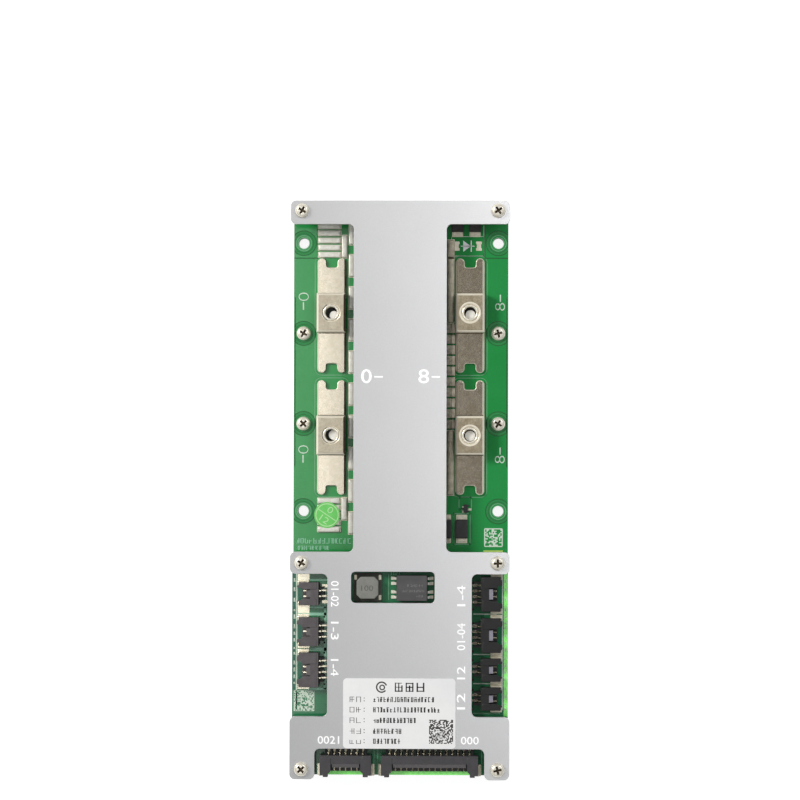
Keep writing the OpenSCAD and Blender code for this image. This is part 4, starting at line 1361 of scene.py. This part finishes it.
            # The thread runs out at both ends
            lead = min(1.0, (mouth - z) / (0.5 * MM), (z - foot) / (0.5 * MM) + 0.05)
            phases = [(z / (self.pitch * MM) - k / self.around) % 1 for k in range(self.around)]
            rows.append(
                level(z, [(self.thread + self.groove * abs(p * 2 - 1) * lead) * MM for p in phases])
            )
        for z, r in (
            (top - 0.12 * MM, crest + 0.12 * MM),
            (top - 0.03 * MM, crest + 0.26 * MM),
            (top, crest + 0.42 * MM),
            (top - 0.05 * MM, collar - 0.28 * MM),
            (top - 0.2 * MM, collar - 0.12 * MM),
            (top - 0.45 * MM, collar),
            (shoulder, collar),
            (shoulder, body - 0.2 * MM),
            (shoulder - 0.2 * MM, body),
            (foot + 0.3 * MM, body),
            (foot, body - 0.3 * MM),
        ):
            rows.append(level(z, [r] * self.around))
        for a, b in zip(rows, rows[1:] + rows[:1]):
            for k in range(self.around):
                n = (k + 1) % self.around
                bm.faces.new((a[k], a[n], b[n], b[k])).smooth = True


@dataclass
class Bars:
    """Solder-coated bars, their pads and the row of shunts.

    Attributes:
        spread: How far a pad shows past its bar.
        edge: Radius of a bar's top edges.
        step: Distance between the cuts along a bar.
        swell: Height of the waves in the solder.
        wave: Length of such a wave.
    """

    spread: float = 0.3
    edge: float = 0.42
    step: float = 1.2
    swell: float = 0.06
    wave: float = 1.6

    def build(self) -> None:
        """Builds every bar with a coat of its own, then the shunts."""
        for node, finish in (
            ("web_bars", SOLDER),
            ("upper_ladder_bars", SOLDER),
            ("lower_ladder_bars", SOLDER),
            # The shunts' side bars take the darker solder: painted shade
            ("shunt_side_bars", SOLDER_SHADED),
        ):
            self.coated(node, finish)
        self.shunts()

    def coated(self, node: str, finish: Finish) -> None:
        """Builds the rounded, slightly uneven bars of a node."""
        bm, pads = bmesh.new(), bmesh.new()
        for number, (low, high) in enumerate(island_boxes(node)):
            self.bar(bm, low, high, number)
            size, mid = measure(low, high)
            across = 0.06 if "ladder" in node else self.spread / 3
            wide = self.spread if size.x > size.y else across
            long = self.spread if size.y > size.x else across
            outline = rounded(mid.x, mid.y, size.x + 2 * wide, size.y + 2 * long, 0.2, 3)
            lay(pads, outline, low.z / MM, 0.03)
        piece(bm, f"{node}_coated", [finish], [node], smooth=80)
        piece(pads, f"{node}_pads", [PAD], smooth=None)

    def bar(self, bm: Mesh, low: Vector, high: Vector, number: int) -> None:
        """Adds one bar: a box with round edges, finely divided and moved by smooth noise."""
        part = bmesh.new()
        bmesh.ops.create_cube(part, size=1)
        size, mid = high - low, (high + low) / 2
        for v in part.verts:
            v.co = Vector(c * s for c, s in zip(v.co, size)) + mid
        along = 0 if size.x > size.y else 1
        cuts = max(3, round(size[along] / (self.step * MM)))
        long_edges = [
            e for e in part.edges if abs(e.verts[0].co[along] - e.verts[1].co[along]) > size[along] / 2
        ]
        bmesh.ops.subdivide_edges(part, edges=long_edges, cuts=cuts, use_grid_fill=True)
        upper = low.z + size.z / 2
        bevel(part, self.edge, 4, angle=50, only=lambda e: max(v.co.z for v in e.verts) > upper)
        # Each bar takes its waves from a place of its own in the noise
        shift = Vector((number * 3.1, number * 1.7, 0))
        for v in part.verts:
            if v.co.z > low.z + size.z * 0.3:
                height = noise.noise(v.co / (self.wave * MM) + shift)
                v.co.z += (height * self.swell - self.swell) * MM
        for face in part.faces:
            face.smooth = True
        mesh = bpy.data.meshes.new("bar")
        part.to_mesh(mesh)
        part.free()
        bm.from_mesh(mesh)
        bpy.data.meshes.remove(mesh)

    def shunts(self) -> None:
        """Dresses the shunts: an alloy strip between two caps of darker, painted-shade solder, with a narrow
        slot between them.
        """
        softened("shunt_resistors", "shunt_strips", [SHUNT], 0.12, angle=50)
        softened("shunt_end_caps", "shunt_caps_soldered", [SOLDER_SHADED], 0.15, angle=50)


@dataclass
class PowerParts:
    """Diodes, the small transistor and the spare pads, and the parts hidden under the web.

    Attributes:
        spare_pads: Places of the two waisted pads without a part.
        transistor_pads: Places of the small transistor's pads.
    """

    spare_pads: tuple[Point, ...] = ((19.7, 86.2), (27.6, 86.2))
    transistor_pads: tuple[Point, ...] = ((24.6, -7.1), (22.4, -6.3), (22.4, -7.9))

    def build(self) -> None:
        """Rounds the moulded parts and dresses the rest."""
        for node, name, finish, slot, width in (
            ("diode_bodies", "diode_mouldings", EPOXY, Slot.EPOXY, 0.15),
            ("diode_terminals", "diode_end_terminals", PAD, Slot.SOLDER, 0.12),
            ("small_transistor", "small_transistor_moulding", EPOXY, Slot.EPOXY, 0.06),
            ("transistor_bodies", "transistor_mouldings", EPOXY, Slot.EPOXY, 0.15),
        ):
            softened(node, name, [finish], width)
        dress("transistor_leads", PAD)
        dress("gap_pads", SILICONE)
        self.pads()

    def pads(self) -> None:
        """Solder pads round the diodes and the two waisted spare pads."""
        top = top_of("power_board")
        bm = bmesh.new()
        for box in island_boxes("diode_terminals"):
            size, mid = measure(*box)
            lay(bm, rounded(mid.x, mid.y, size.x + 0.7, size.y + 0.9, 0.2, 3), top, 0.05)
        for x, y in self.spare_pads:
            lay(bm, rounded(x, y + 1.15, 2.1, 1.0, 0.25, 3), top, 0.14)
            lay(bm, rounded(x, y - 1.15, 2.1, 1.0, 0.25, 3), top, 0.14)
            lay(bm, rounded(x, y, 1.5, 1.5, 0.2, 3), top, 0.1)
        for x, y in self.transistor_pads:
            lay(bm, rounded(x, y, 1.1, 0.8, 0.15, 3), top, 0.06)
        bevel(bm, 0.04, 1, angle=60)
        piece(bm, "power_board_pads", [PAD], smooth=40)


@dataclass
class WindowParts:
    """Inductor and module in the window, with the control board's hidden packs."""

    def build(self) -> None:
        """Dresses the tall parts and the hidden ones."""
        self.inductor()
        self.module()
        for node, finish in (
            ("control_chips", EPOXY),
            ("control_chip_leads", PAD),
            ("balance_resistors", EPOXY),
            ("board_link", NYLON),
            ("board_link_contacts", BRASS),
        ):
            dress(node, finish)

    def inductor(self) -> None:
        """Ferrite core with a raised round field on its top, sides and cut corners darker as painted shade.
        """
        bm = copied("inductor_core")
        bevel(bm, 0.35, 3, angle=40)
        # Faces that do not look up take the dark ferrite: painted shade
        for face in bm.faces:
            face.material_index = 0 if face.normal.z > 0.5 else 1
        piece(bm, "inductor_ferrite", [FERRITE, FERRITE_SHADE_AND_BASE], ["inductor_core"])
        softened("inductor_base", "inductor_foot", [FERRITE_SHADE_AND_BASE], 0.15)
        mid = measure(*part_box("inductor_core"))[1]
        corners = bmesh.new()
        reach = measure(*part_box("inductor_base"))[0].x / 2
        for sx, sy in ((1, 1), (1, -1), (-1, 1)):
            x, y = mid.x + sx * (reach - 0.75), mid.y + sy * (reach - 1.5)
            lay(corners, rounded(x, y, 0.9, 1.7, 0.2, 3), top_of("inductor_base"), 0.12)
        bevel(corners, 0.05, 1, angle=60)
        piece(corners, "inductor_terminals", [PAD])
        mark = Print("inductor_mark", top_of("inductor_core"), FERRITE_MARK, Slot.FERRITE)
        mark.numerals("100", mid.x - 0.1, mid.y - 0.1, 4.2, 1.9, 0, 0.0)
        mark.done()

    def module(self) -> None:
        """Moulded module with a faint laser mark and bright leads."""
        softened("module_body", "module_moulding", [EPOXY_GREY], 0.12, angle=30)
        softened("module_leads", "module_leads_tinned", [SOLDER], 0.06)
        mid = measure(*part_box("module_body"))[1]
        pads = bmesh.new()
        for a, b in island_boxes("module_leads"):
            side = 1 if (a.x + b.x) / 2 > mid.x * MM else -1
            x = (b.x if side > 0 else a.x) / MM
            outline = rounded(x - side * 0.1, (a.y + b.y) / 2 / MM, 1.3, 1.15, 0.15, 3)
            lay(pads, outline, a.z / MM, 0.04)
        piece(pads, "module_pads", [PAD], smooth=None)
        mark = Print("module_mark", top_of("module_body"), LASER_MARK, Slot.EPOXY)
        mark.strokes(mid.x + 1.0, mid.y + 0.9, 5.6, 0.9, 41, 0.12, pitch=0.9)
        mark.strokes(mid.x + 0.4, mid.y - 1.0, 8.0, 0.8, 42, 0.11, pitch=0.8)
        mark.strokes(mid.x + 2.6, mid.y - 2.8, 2.6, 0.7, 43, 0.11, pitch=0.8)
        mark.done()


@dataclass
class Headers:
    """Latching right-angle headers with their pins, tabs and pads.

    Attributes:
        names: The headers.
        edge: Radius of the moulded edges.
        tooth: Width of a tooth of the comb behind the rear wall.
        comb: How far the comb reaches.
        comb_left: How far it reaches on the left headers.
        comb_height: Its height.
        wide_pads: Places along the left side where a tab's pad is larger, and by how much.
        rear_pads: Bright pads behind the first left header.
        bright_from: Pads further left than this take the whiter solder that paints their light.
    """

    names: tuple[str, ...] = (
        "left_port_1",
        "left_port_2",
        "left_port_3",
        "right_port_1",
        "right_port_2",
        "right_port_3",
        "right_port_4",
        "lower_port_1",
        "lower_port_2",
    )
    edge: float = 0.12
    tooth: float = 0.72
    comb: float = 2.4
    comb_left: float = 1.9
    comb_height: float = 2.2
    wide_pads: tuple[Point, ...] = ((-32.2, 1.7), (-41.0, -1.9))
    rear_pads: tuple[Point, ...] = ((-26.5, -34.0), (-26.5, -39.6))
    bright_from: float = 26.0

    def build(self) -> None:
        """Builds every header, then the tabs and pads of all."""
        for name in self.names:
            self.housing(name)
            self.pins(name)
        self.tabs()

    def way(self, name: str) -> Vector:
        """Direction in which a header's mouth looks."""
        return {
            "left": Vector((-1, 0, 0)),
            "right": Vector((1, 0, 0)),
            "lower": Vector((0, -1, 0)),
        }[name.split("_")[0]]

    def housing(self, name: str) -> None:
        """Rounds a housing's edges and gives its slope its own finish, pale as painted reflection on the
        right.
        """
        node = f"{name}_housing"
        bm = copied(node)
        mouth = self.way(name)
        for face in bm.faces:
            sloped = face.normal.z > 0.2 and face.normal.dot(mouth) > 0.3
            face.material_index = int(sloped)
        slope = [v.co for f in bm.faces if f.material_index == 1 for v in f.verts]
        bevel(bm, self.edge, 2, angle=40)
        self.teeth(bm, name)
        if slope and not name.startswith("right"):
            self.slot_line(bm, name, slope)
        # Left-hand housings are paler as painted sheen; right-hand slopes pale lilac as painted reflection
        finishes = {
            "left": (NYLON_SHEEN, NYLON_SLOPE, NYLON),
            "right": (NYLON, NYLON_RAMP_REFLECTION, NYLON),
            "lower": (NYLON_DARK_GREY, NYLON_SLOPE, NYLON),
        }[name.split("_")[0]]
        piece(bm, f"{name}_moulding", finishes, [node])

    def slot_line(self, bm: Mesh, name: str, slope: Sequence[Vector]) -> None:
        """Adds a dark line in the black nylon at the head of a slope.

        Args:
            bm: Mesh of the housing.
            name: The header.
            slope: Corners of its slope.
        """
        low = Vector([min(p[i] for p in slope) / MM for i in range(3)])
        high = Vector([max(p[i] for p in slope) / MM for i in range(3)])
        mid = (low + high) / 2
        if name.startswith("left"):
            outline = rounded(high.x + 0.12, mid.y, 0.3, high.y - low.y + 0.3, 0.1, 2)
        else:
            outline = rounded(mid.x, high.y + 0.12, high.x - low.x + 0.3, 0.35, 0.1, 2)
        slab(bm, outline, high.z - 0.05, high.z + 0.03, 2)

    def teeth(self, bm: Mesh, name: str) -> None:
        """Adds the comb of the rear wall, whose teeth stand between the leads, black on all as painted shade.

        Args:
            bm: Mesh of the housing.
            name: The header.
        """
        low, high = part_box(f"{name}_housing")
        pins = island_boxes(f"{name}_pins")
        rear = -self.way(name)
        axis = 1 if abs(rear.x) > 0.5 else 0
        places = sorted((a[axis] + b[axis]) / 2 / MM for a, b in pins)
        pitch = places[1] - places[0]
        reach = self.comb_left if name.startswith("left") else self.comb
        for k in range(len(places) + 1):
            at = places[0] + (k - 0.5) * pitch
            if axis == 1:
                wall = (high.x if rear.x > 0 else low.x) / MM
                outline = rounded(wall + rear.x * (reach / 2 - 0.1), at, reach + 0.2, self.tooth, 0.08, 2)
            else:
                outline = rounded(at, high.y / MM + reach / 2 - 0.1, self.tooth, reach + 0.2, 0.08, 2)
            slab(bm, outline, low.z / MM + 0.02, low.z / MM + self.comb_height, 2)

    def pins(self, name: str) -> None:
        """Breaks the pins' edges and adds a fillet of solder at each foot."""
        node = f"{name}_pins"
        bm = copied(node)
        bevel(bm, 0.07, 2)
        low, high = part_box(f"{name}_housing")
        mouth, middle = self.way(name), (low + high) / 2
        # Behind the right-hand and lower housings the pins take the darker tin: painted shade
        for face in bm.faces:
            behind = (face.calc_center_median() - middle).dot(mouth) < 0
            face.material_index = int(behind and not name.startswith("left"))
        piece(bm, f"{name}_pins_tinned", [PIN, PIN_SHADED], [node])
        pads = bmesh.new()
        rear = -self.way(name)
        for low, high in island_boxes(node):
            size, mid = measure(low, high)
            if abs(rear.x) > 0.5:
                end = high.x / MM if rear.x > 0 else low.x / MM
                outline = rounded(end - rear.x * 0.5, mid.y, 1.7, size.y + 0.3, 0.2, 3)
            else:
                outline = rounded(mid.x, high.y / MM - 0.5, size.x + 0.3, 1.7, 0.2, 3)
            lay(pads, outline, low.z / MM, 0.06)
        bevel(pads, 0.04, 1, angle=60)
        piece(pads, f"{name}_pin_pads", [PAD], smooth=40)

    def tabs(self) -> None:
        """Rounds the solder tabs and lays the wide pads under them."""
        bm = copied("port_tabs")
        bevel(bm, 0.07, 2)
        # Tabs on the far left take the whiter solder: painted light
        for face in bm.faces:
            face.material_index = int(face.calc_center_median().x < -self.bright_from * MM)
        piece(bm, "port_tabs_tinned", [PAD, PAD_LIT], ["port_tabs"])
        pads = bmesh.new()
        for low, high in island_boxes("port_tabs"):
            size, mid = measure(low, high)
            w, h, x, y = size.x + 0.3, size.y + 0.3, mid.x, mid.y
            for at, more in self.wide_pads:
                if x < 0 and abs(y - at) < 1.0:
                    h, y = h + abs(more), y + more / 2
            lay(pads, rounded(x, y, w, h, 0.2, 3), low.z / MM, 0.08)
        for x, y in self.rear_pads:
            lay(pads, rounded(x, y, 1.9, 1.1, 0.3, 3), low.z / MM, 0.08)
        bevel(pads, 0.05, 1, angle=60)
        # Pads on the far left take the whiter solder too: painted light
        for face in pads.faces:
            face.material_index = int(face.calc_center_median().x < -self.bright_from * MM)
        piece(pads, "port_tab_pads", [PAD, PAD_LIT], smooth=40)


@dataclass
class Fasteners:
    """Screws with a tapered cross recess, and the sleeves round them.

    Attributes:
        reach: Radius round a screw's axis within which all turns with its head.
        height: How far down from the top it turns.
        recess: Radius that holds the whole recess.
        walls: Radius that holds its walls.
        taper: Width of the recess's floor as a share of its mouth.
    """

    reach: float = 3.0
    height: float = 2.5
    recess: float = 1.7
    walls: float = 1.5
    taper: float = 0.5

    def build(self) -> None:
        """Builds the screws and dresses the sleeves."""
        self.screws("cover_screws")
        self.screws("board_screws")
        for node in ("board_spacers", "cover_spacers", "end_spacers"):
            dress(node, BRASS)

    def screws(self, node: str) -> None:
        """Tapers each recess, turns each head its own way and rounds the edges.

        Args:
            node: CAD node of the screws.
        """
        bm = copied(node)
        rng = random.Random(len(node))
        axes = [((low.x + high.x) / 2, (low.y + high.y) / 2) for low, high in island_boxes(node)]

        def off_axis(point: Vector) -> float:
            """Distance of a point from the nearest screw's axis."""
            return min(math.hypot(point.x - x, point.y - y) for x, y in axes)

        top = max(v.co.z for v in bm.verts)
        floor = min(
            v.co.z
            for v in bm.verts
            if top - 1.5 * MM < v.co.z < top - 0.9 * MM and off_axis(v.co) < self.recess * MM
        )
        for (cx, cy), (_, high) in zip(axes, island_boxes(node)):
            turn = Matrix.Rotation(rng.uniform(0, math.pi / 2), 3, "Z")
            for v in bm.verts:
                arm = Vector((v.co.x - cx, v.co.y - cy, 0))
                if arm.length > self.reach * MM or v.co.z < high.z - self.height * MM:
                    continue
                if abs(v.co.z - floor) < 0.05 * MM and arm.length < self.recess * MM:
                    arm *= self.taper
                arm = turn @ arm
                v.co.x, v.co.y = cx + arm.x, cy + arm.y
        hair = 0.01 * MM
        for face in bm.faces:
            mid = face.calc_center_median()
            near = off_axis(mid) < self.walls * MM
            wall = floor - hair < mid.z < top - hair and face.normal.z < 0.99
            bottom = abs(mid.z - floor) < hair
            face.material_index = int(near and (wall or bottom))
        bevel(bm, 0.1, 2, angle=45, only=lambda e: max(v.co.z for v in e.verts) > top - 2.2 * MM)
        piece(bm, f"{node}_nickel", [SCREW_NICKEL, RECESS], [node], smooth=40)

@dataclass
class Stickers:
    """White sticker with rows of print and the round green one."""

    def build(self) -> None:
        """Builds both stickers."""
        self.label()
        self.seal()

    def label(self) -> None:
        """Sticker with a header row, five rows of strokes and a square of cells."""
        softened("rating_label", "sticker_white", [FILM], 0.04)
        ink = Print("sticker_print", top_of("rating_label"), INK, Slot.EPOXY, 0.01)
        ink.ring(-6.2, -69.1, 1.75, 0.5, (20, 320))
        ink.ring(-6.0, -69.2, 0.8, 0.45)
        for seed, width in ((51, 0.5), (52, 0.4), (53, 0.34)):
            ink.strokes(3.6, -69.1, 11.4, 3.2, seed, width, pitch=3.8)
        rows = (-73.4, -77.0, -80.7, -84.5, -88.0)
        for k, y in enumerate(rows):
            ink.strokes(-15.4, y, 4.6, 1.9, 60 + k, 0.22, pitch=2.3)
            ink.bar(-12.3, y + 0.5, 0.32, 0.32)
            ink.bar(-12.3, y - 0.5, 0.32, 0.32)
        for k, (y, length) in enumerate(zip(rows, (21.6, 23.6, 15.2, 10.2, 9.8))):
            ink.strokes(-9.3 + length / 2, y, length, 1.8, 70 + k, 0.34, pitch=1.2)
        ink.matrix(14.65, -84.6, 8.4, 23, 81, 0.56)
        ink.done()

    def seal(self) -> None:
        """Round sticker with a pale ring, a bar across and two plain numerals."""
        softened("inspection_seal", "sticker_round", [GREEN_FILM], 0.03, 1)
        size, (x, y, _) = measure(*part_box("inspection_seal"))
        radius = size.x / 2
        ink = Print("sticker_round_print", top_of("inspection_seal"), GREEN_PRINT, Slot.WHITE, 0.01)
        ink.ring(x, y, radius * 0.86, 0.3)
        ink.bar(x, y, radius * 1.6, 0.28, -34)
        ink.numerals("12", x - 0.95, y - 1.6, 3.2, 2.2, -34, -0.02)
        ink.numerals("0", x + 1.15, y + 1.75, 1.9, 2.3, -34, -0.02)
        ink.done()


@dataclass
class Studio:
    """Pale floor, soft lamps, world and camera, in millimetres.

    Attributes:
        eye: Place of the camera.
        aim: Point at the middle of its picture.
        roll: Turn of the picture in degrees.
        lens: Focal length.
        plates: Pieces lit by the lamp beside the cover and not by those beside the straps.
        floor_side: Length of the floor.
        glow: How brightly the floor shows where it is looked at.
        ambient: Brightness of the room.
    """

    eye: tuple[float, float, float] = (26.3, 19.2, 1030.0)
    aim: tuple[float, float, float] = (0.01, 31.47, 17.0)
    roll: float = 0.13
    lens: float = 130.1
    plates: tuple[str, ...] = ("cover_plate", "cover_marks")
    floor_side: float = 8000.0
    glow: float = 0.85
    ambient: float = 0.36

    def build(self) -> None:
        """Sets up the room round the board."""
        self.floor()
        self.lamps()
        self.world()
        self.camera()
        bpy.context.scene.view_settings.view_transform = "Standard"

    def sheet(
        self, name: str, material: bpy.types.Material, low: Point, high: Point, level: float
    ) -> bpy.types.Object:
        """Adds a level sheet that belongs to the room and not to the board.

        Args:
            name: Name of the sheet.
            material: What it is made of.
            low: Its lowest corner in millimetres.
            high: Its highest corner.
            level: Its height.

        Returns:
            The object.
        """
        bm = bmesh.new()
        corners = ((low[0], low[1]), (high[0], low[1]), (high[0], high[1]), (low[0], high[1]))
        bm.faces.new([bm.verts.new((x * MM, y * MM, level * MM)) for x, y in corners])
        mesh = bpy.data.meshes.new(name)
        bm.to_mesh(mesh)
        bm.free()
        mesh.materials.append(material)
        thing = bpy.data.objects.new(name, mesh)
        bpy.context.scene.collection.objects.link(thing)
        return thing

    def floor(self) -> None:
        """White floor that keeps the board's shadow, shows as white and is clear from below."""
        material = bpy.data.materials.new("floor_white_board")
        tree = emptied(material)
        place = add(tree, "ShaderNodeTexCoord").outputs["Object"]
        tooth = add(tree, "ShaderNodeTexNoise", {"Scale": 900.0, "Detail": 2.0}, {"Vector": place})
        height = {"Strength": 0.1, "Distance": 0.2 * MM}
        bump = add(tree, "ShaderNodeBump", height, {"Height": tooth.outputs["Fac"]})
        paint = {"Color": linear("#B8B8B8")}
        matt = add(tree, "ShaderNodeBsdfDiffuse", paint, {"Normal": bump.outputs["Normal"]})
        matt = matt.outputs["BSDF"]
        glow = add(tree, "ShaderNodeEmission", {"Strength": self.glow}).outputs["Emission"]
        both = add(tree, "ShaderNodeAddShader", links={0: matt, 1: glow}).outputs["Shader"]
        ray = add(tree, "ShaderNodeLightPath").outputs
        seen = ray["Is Camera Ray"]
        for kind in ("Is Glossy Ray", "Is Transmission Ray"):
            pair = {0: seen, 1: ray[kind]}
            seen = add(tree, "ShaderNodeMath", links=pair, operation="MAXIMUM").outputs[0]
        lit = add(tree, "ShaderNodeMixShader", links={0: seen, 1: matt, 2: both}).outputs["Shader"]
        below = add(tree, "ShaderNodeNewGeometry").outputs["Backfacing"]
        clear = add(tree, "ShaderNodeBsdfTransparent").outputs["BSDF"]
        sided = add(tree, "ShaderNodeMixShader", links={0: below, 1: lit, 2: clear}).outputs["Shader"]
        add(tree, "ShaderNodeOutputMaterial", links={"Surface": sided})
        # A hair below the plate, so that the two faces never fight for the same rays
        side = self.floor_side / 2
        self.sheet("floor", material, (-side, -side), (side, side), -0.1)

    def lamp(
        self,
        name: str,
        place: Sequence[float],
        size: Sequence[float],
        radiance: float,
        colour: str = "#FFFFFF",
    ) -> bpy.types.Object:
        """Adds a soft rectangular lamp that faces the board.

        Args:
            name: Name of the lamp.
            place: Its place in millimetres.
            size: Its width and height in millimetres.
            radiance: How bright its face is, where 1 shows as white.
            colour: Its colour.

        Returns:
            The lamp.
        """
        data = bpy.data.lights.new(name, "AREA")
        data.shape = "RECTANGLE"
        data.size, data.size_y = size[0] * MM, size[1] * MM
        data.energy = radiance * math.pi * data.size * data.size_y
        data.color = linear(colour)[:3]
        thing = bpy.data.objects.new(name, data)
        where = Vector(place) * MM
        thing.matrix_world = Matrix.Translation(where) @ self.facing(where)
        bpy.context.scene.collection.objects.link(thing)
        return thing

    def facing(self, back: Vector) -> Matrix:
        """Turn of a thing that looks away from a direction, with its own X level."""
        back = back.normalized()
        right = Vector((0, 1, 0)).cross(back).normalized()
        return Matrix((right, back.cross(right), back)).transposed().to_4x4()

    def lamps(self) -> None:
        """Soft lamps: the main one from the left, a weak one from the upper right, and four for sheens.

        The four hang beside the lens and are mirrored by what lies flat: two light all but the cover,
        one the cover alone and one the bright strips along the control board's edges.
        """
        self.lamp("key_left", (-760, 400, 880), (320, 320), 28.0, "#FFFCF6")
        self.lamp("fill_right", (520, 480, 1000), (500, 500), 3.0, "#FAFCFF")
        sheen = self.lamp("sheen_left", (-133, -40, 1035), (94, 480), 2.45)
        strip = self.lamp("strip_left", (-68, 10, 1035), (34, 480), 0.34)
        wash = self.lamp("cover_wash", (188, 128, 1040), (240, 670), 6.45)
        plates = [thing for thing in bpy.context.scene.objects if thing.name in self.plates]
        others = [thing for thing in bpy.context.scene.objects if thing not in plates]
        self.only(wash, plates)
        self.only(sheen, others)
        self.only(strip, others)
        edge = self.lamp("lime_edge", (48, -150, 1030), (120, 380), 5.0)
        self.only(edge, [thing for thing in others if thing.name == "control_board_lime_sheen_strips"])
        self.flag()

    def only(self, lamp: bpy.types.Object, things: Iterable[bpy.types.Object]) -> None:
        """Keeps a lamp's light to some of the pieces, as a gobo would."""
        group = bpy.data.collections.new(f"{lamp.name}_receivers")
        for thing in things:
            group.objects.link(thing)
        lamp.light_linking.receiver_collection = group

    def flag(self) -> None:
        """Grey cloth beside the lens, which darkens what the right-hand straps mirror."""
        material = bpy.data.materials.new("grey_flock")
        material.use_nodes = True
        shader = material.node_tree.nodes["Principled BSDF"]
        shader.inputs["Base Color"].default_value = linear("#5C5A56")
        shader.inputs["Roughness"].default_value = 0.9
        cloth = self.sheet("flag_cloth", material, (-48, -320), (88, 330), 1045)
        cloth.visible_camera = False
        cloth.visible_shadow = False
        cloth.visible_diffuse = False

    def world(self) -> None:
        """Even pale room."""
        world = bpy.data.worlds.new("room")
        tree = emptied(world)
        shade = {"Color": linear("#F8FAFC"), "Strength": self.ambient}
        back = add(tree, "ShaderNodeBackground", shade)
        add(tree, "ShaderNodeOutputWorld", links={"Surface": back.outputs["Background"]})
        bpy.context.scene.world = world

    def camera(self) -> None:
        """Camera above the board, slightly to its right."""
        data = bpy.data.cameras.new("camera")
        data.lens = self.lens
        data.clip_start, data.clip_end = 0.01, 20
        thing = bpy.data.objects.new("camera", data)
        bpy.context.scene.collection.objects.link(thing)
        eye, aim = Vector(self.eye) * MM, Vector(self.aim) * MM
        roll = Matrix.Rotation(math.radians(self.roll), 4, "Z")
        thing.matrix_world = Matrix.Translation(eye) @ self.facing(eye - aim) @ roll
        bpy.context.scene.camera = thing


# ---------------------------------------------------------------- main


def main() -> None:
    """Loads the frame and builds every sub-assembly in order."""
    logging.basicConfig(level=logging.INFO, format="%(message)s")
    FRAME.update(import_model())
    for part in (
        Boards(),
        Cover(),
        Terminals(),
        Bars(),
        PowerParts(),
        WindowParts(),
        Headers(),
        Fasteners(),
        Stickers(),
        Studio(),
    ):
        LOG.info("building %s", type(part).__name__)
        part.build()


if __name__ == "__main__":
    main()
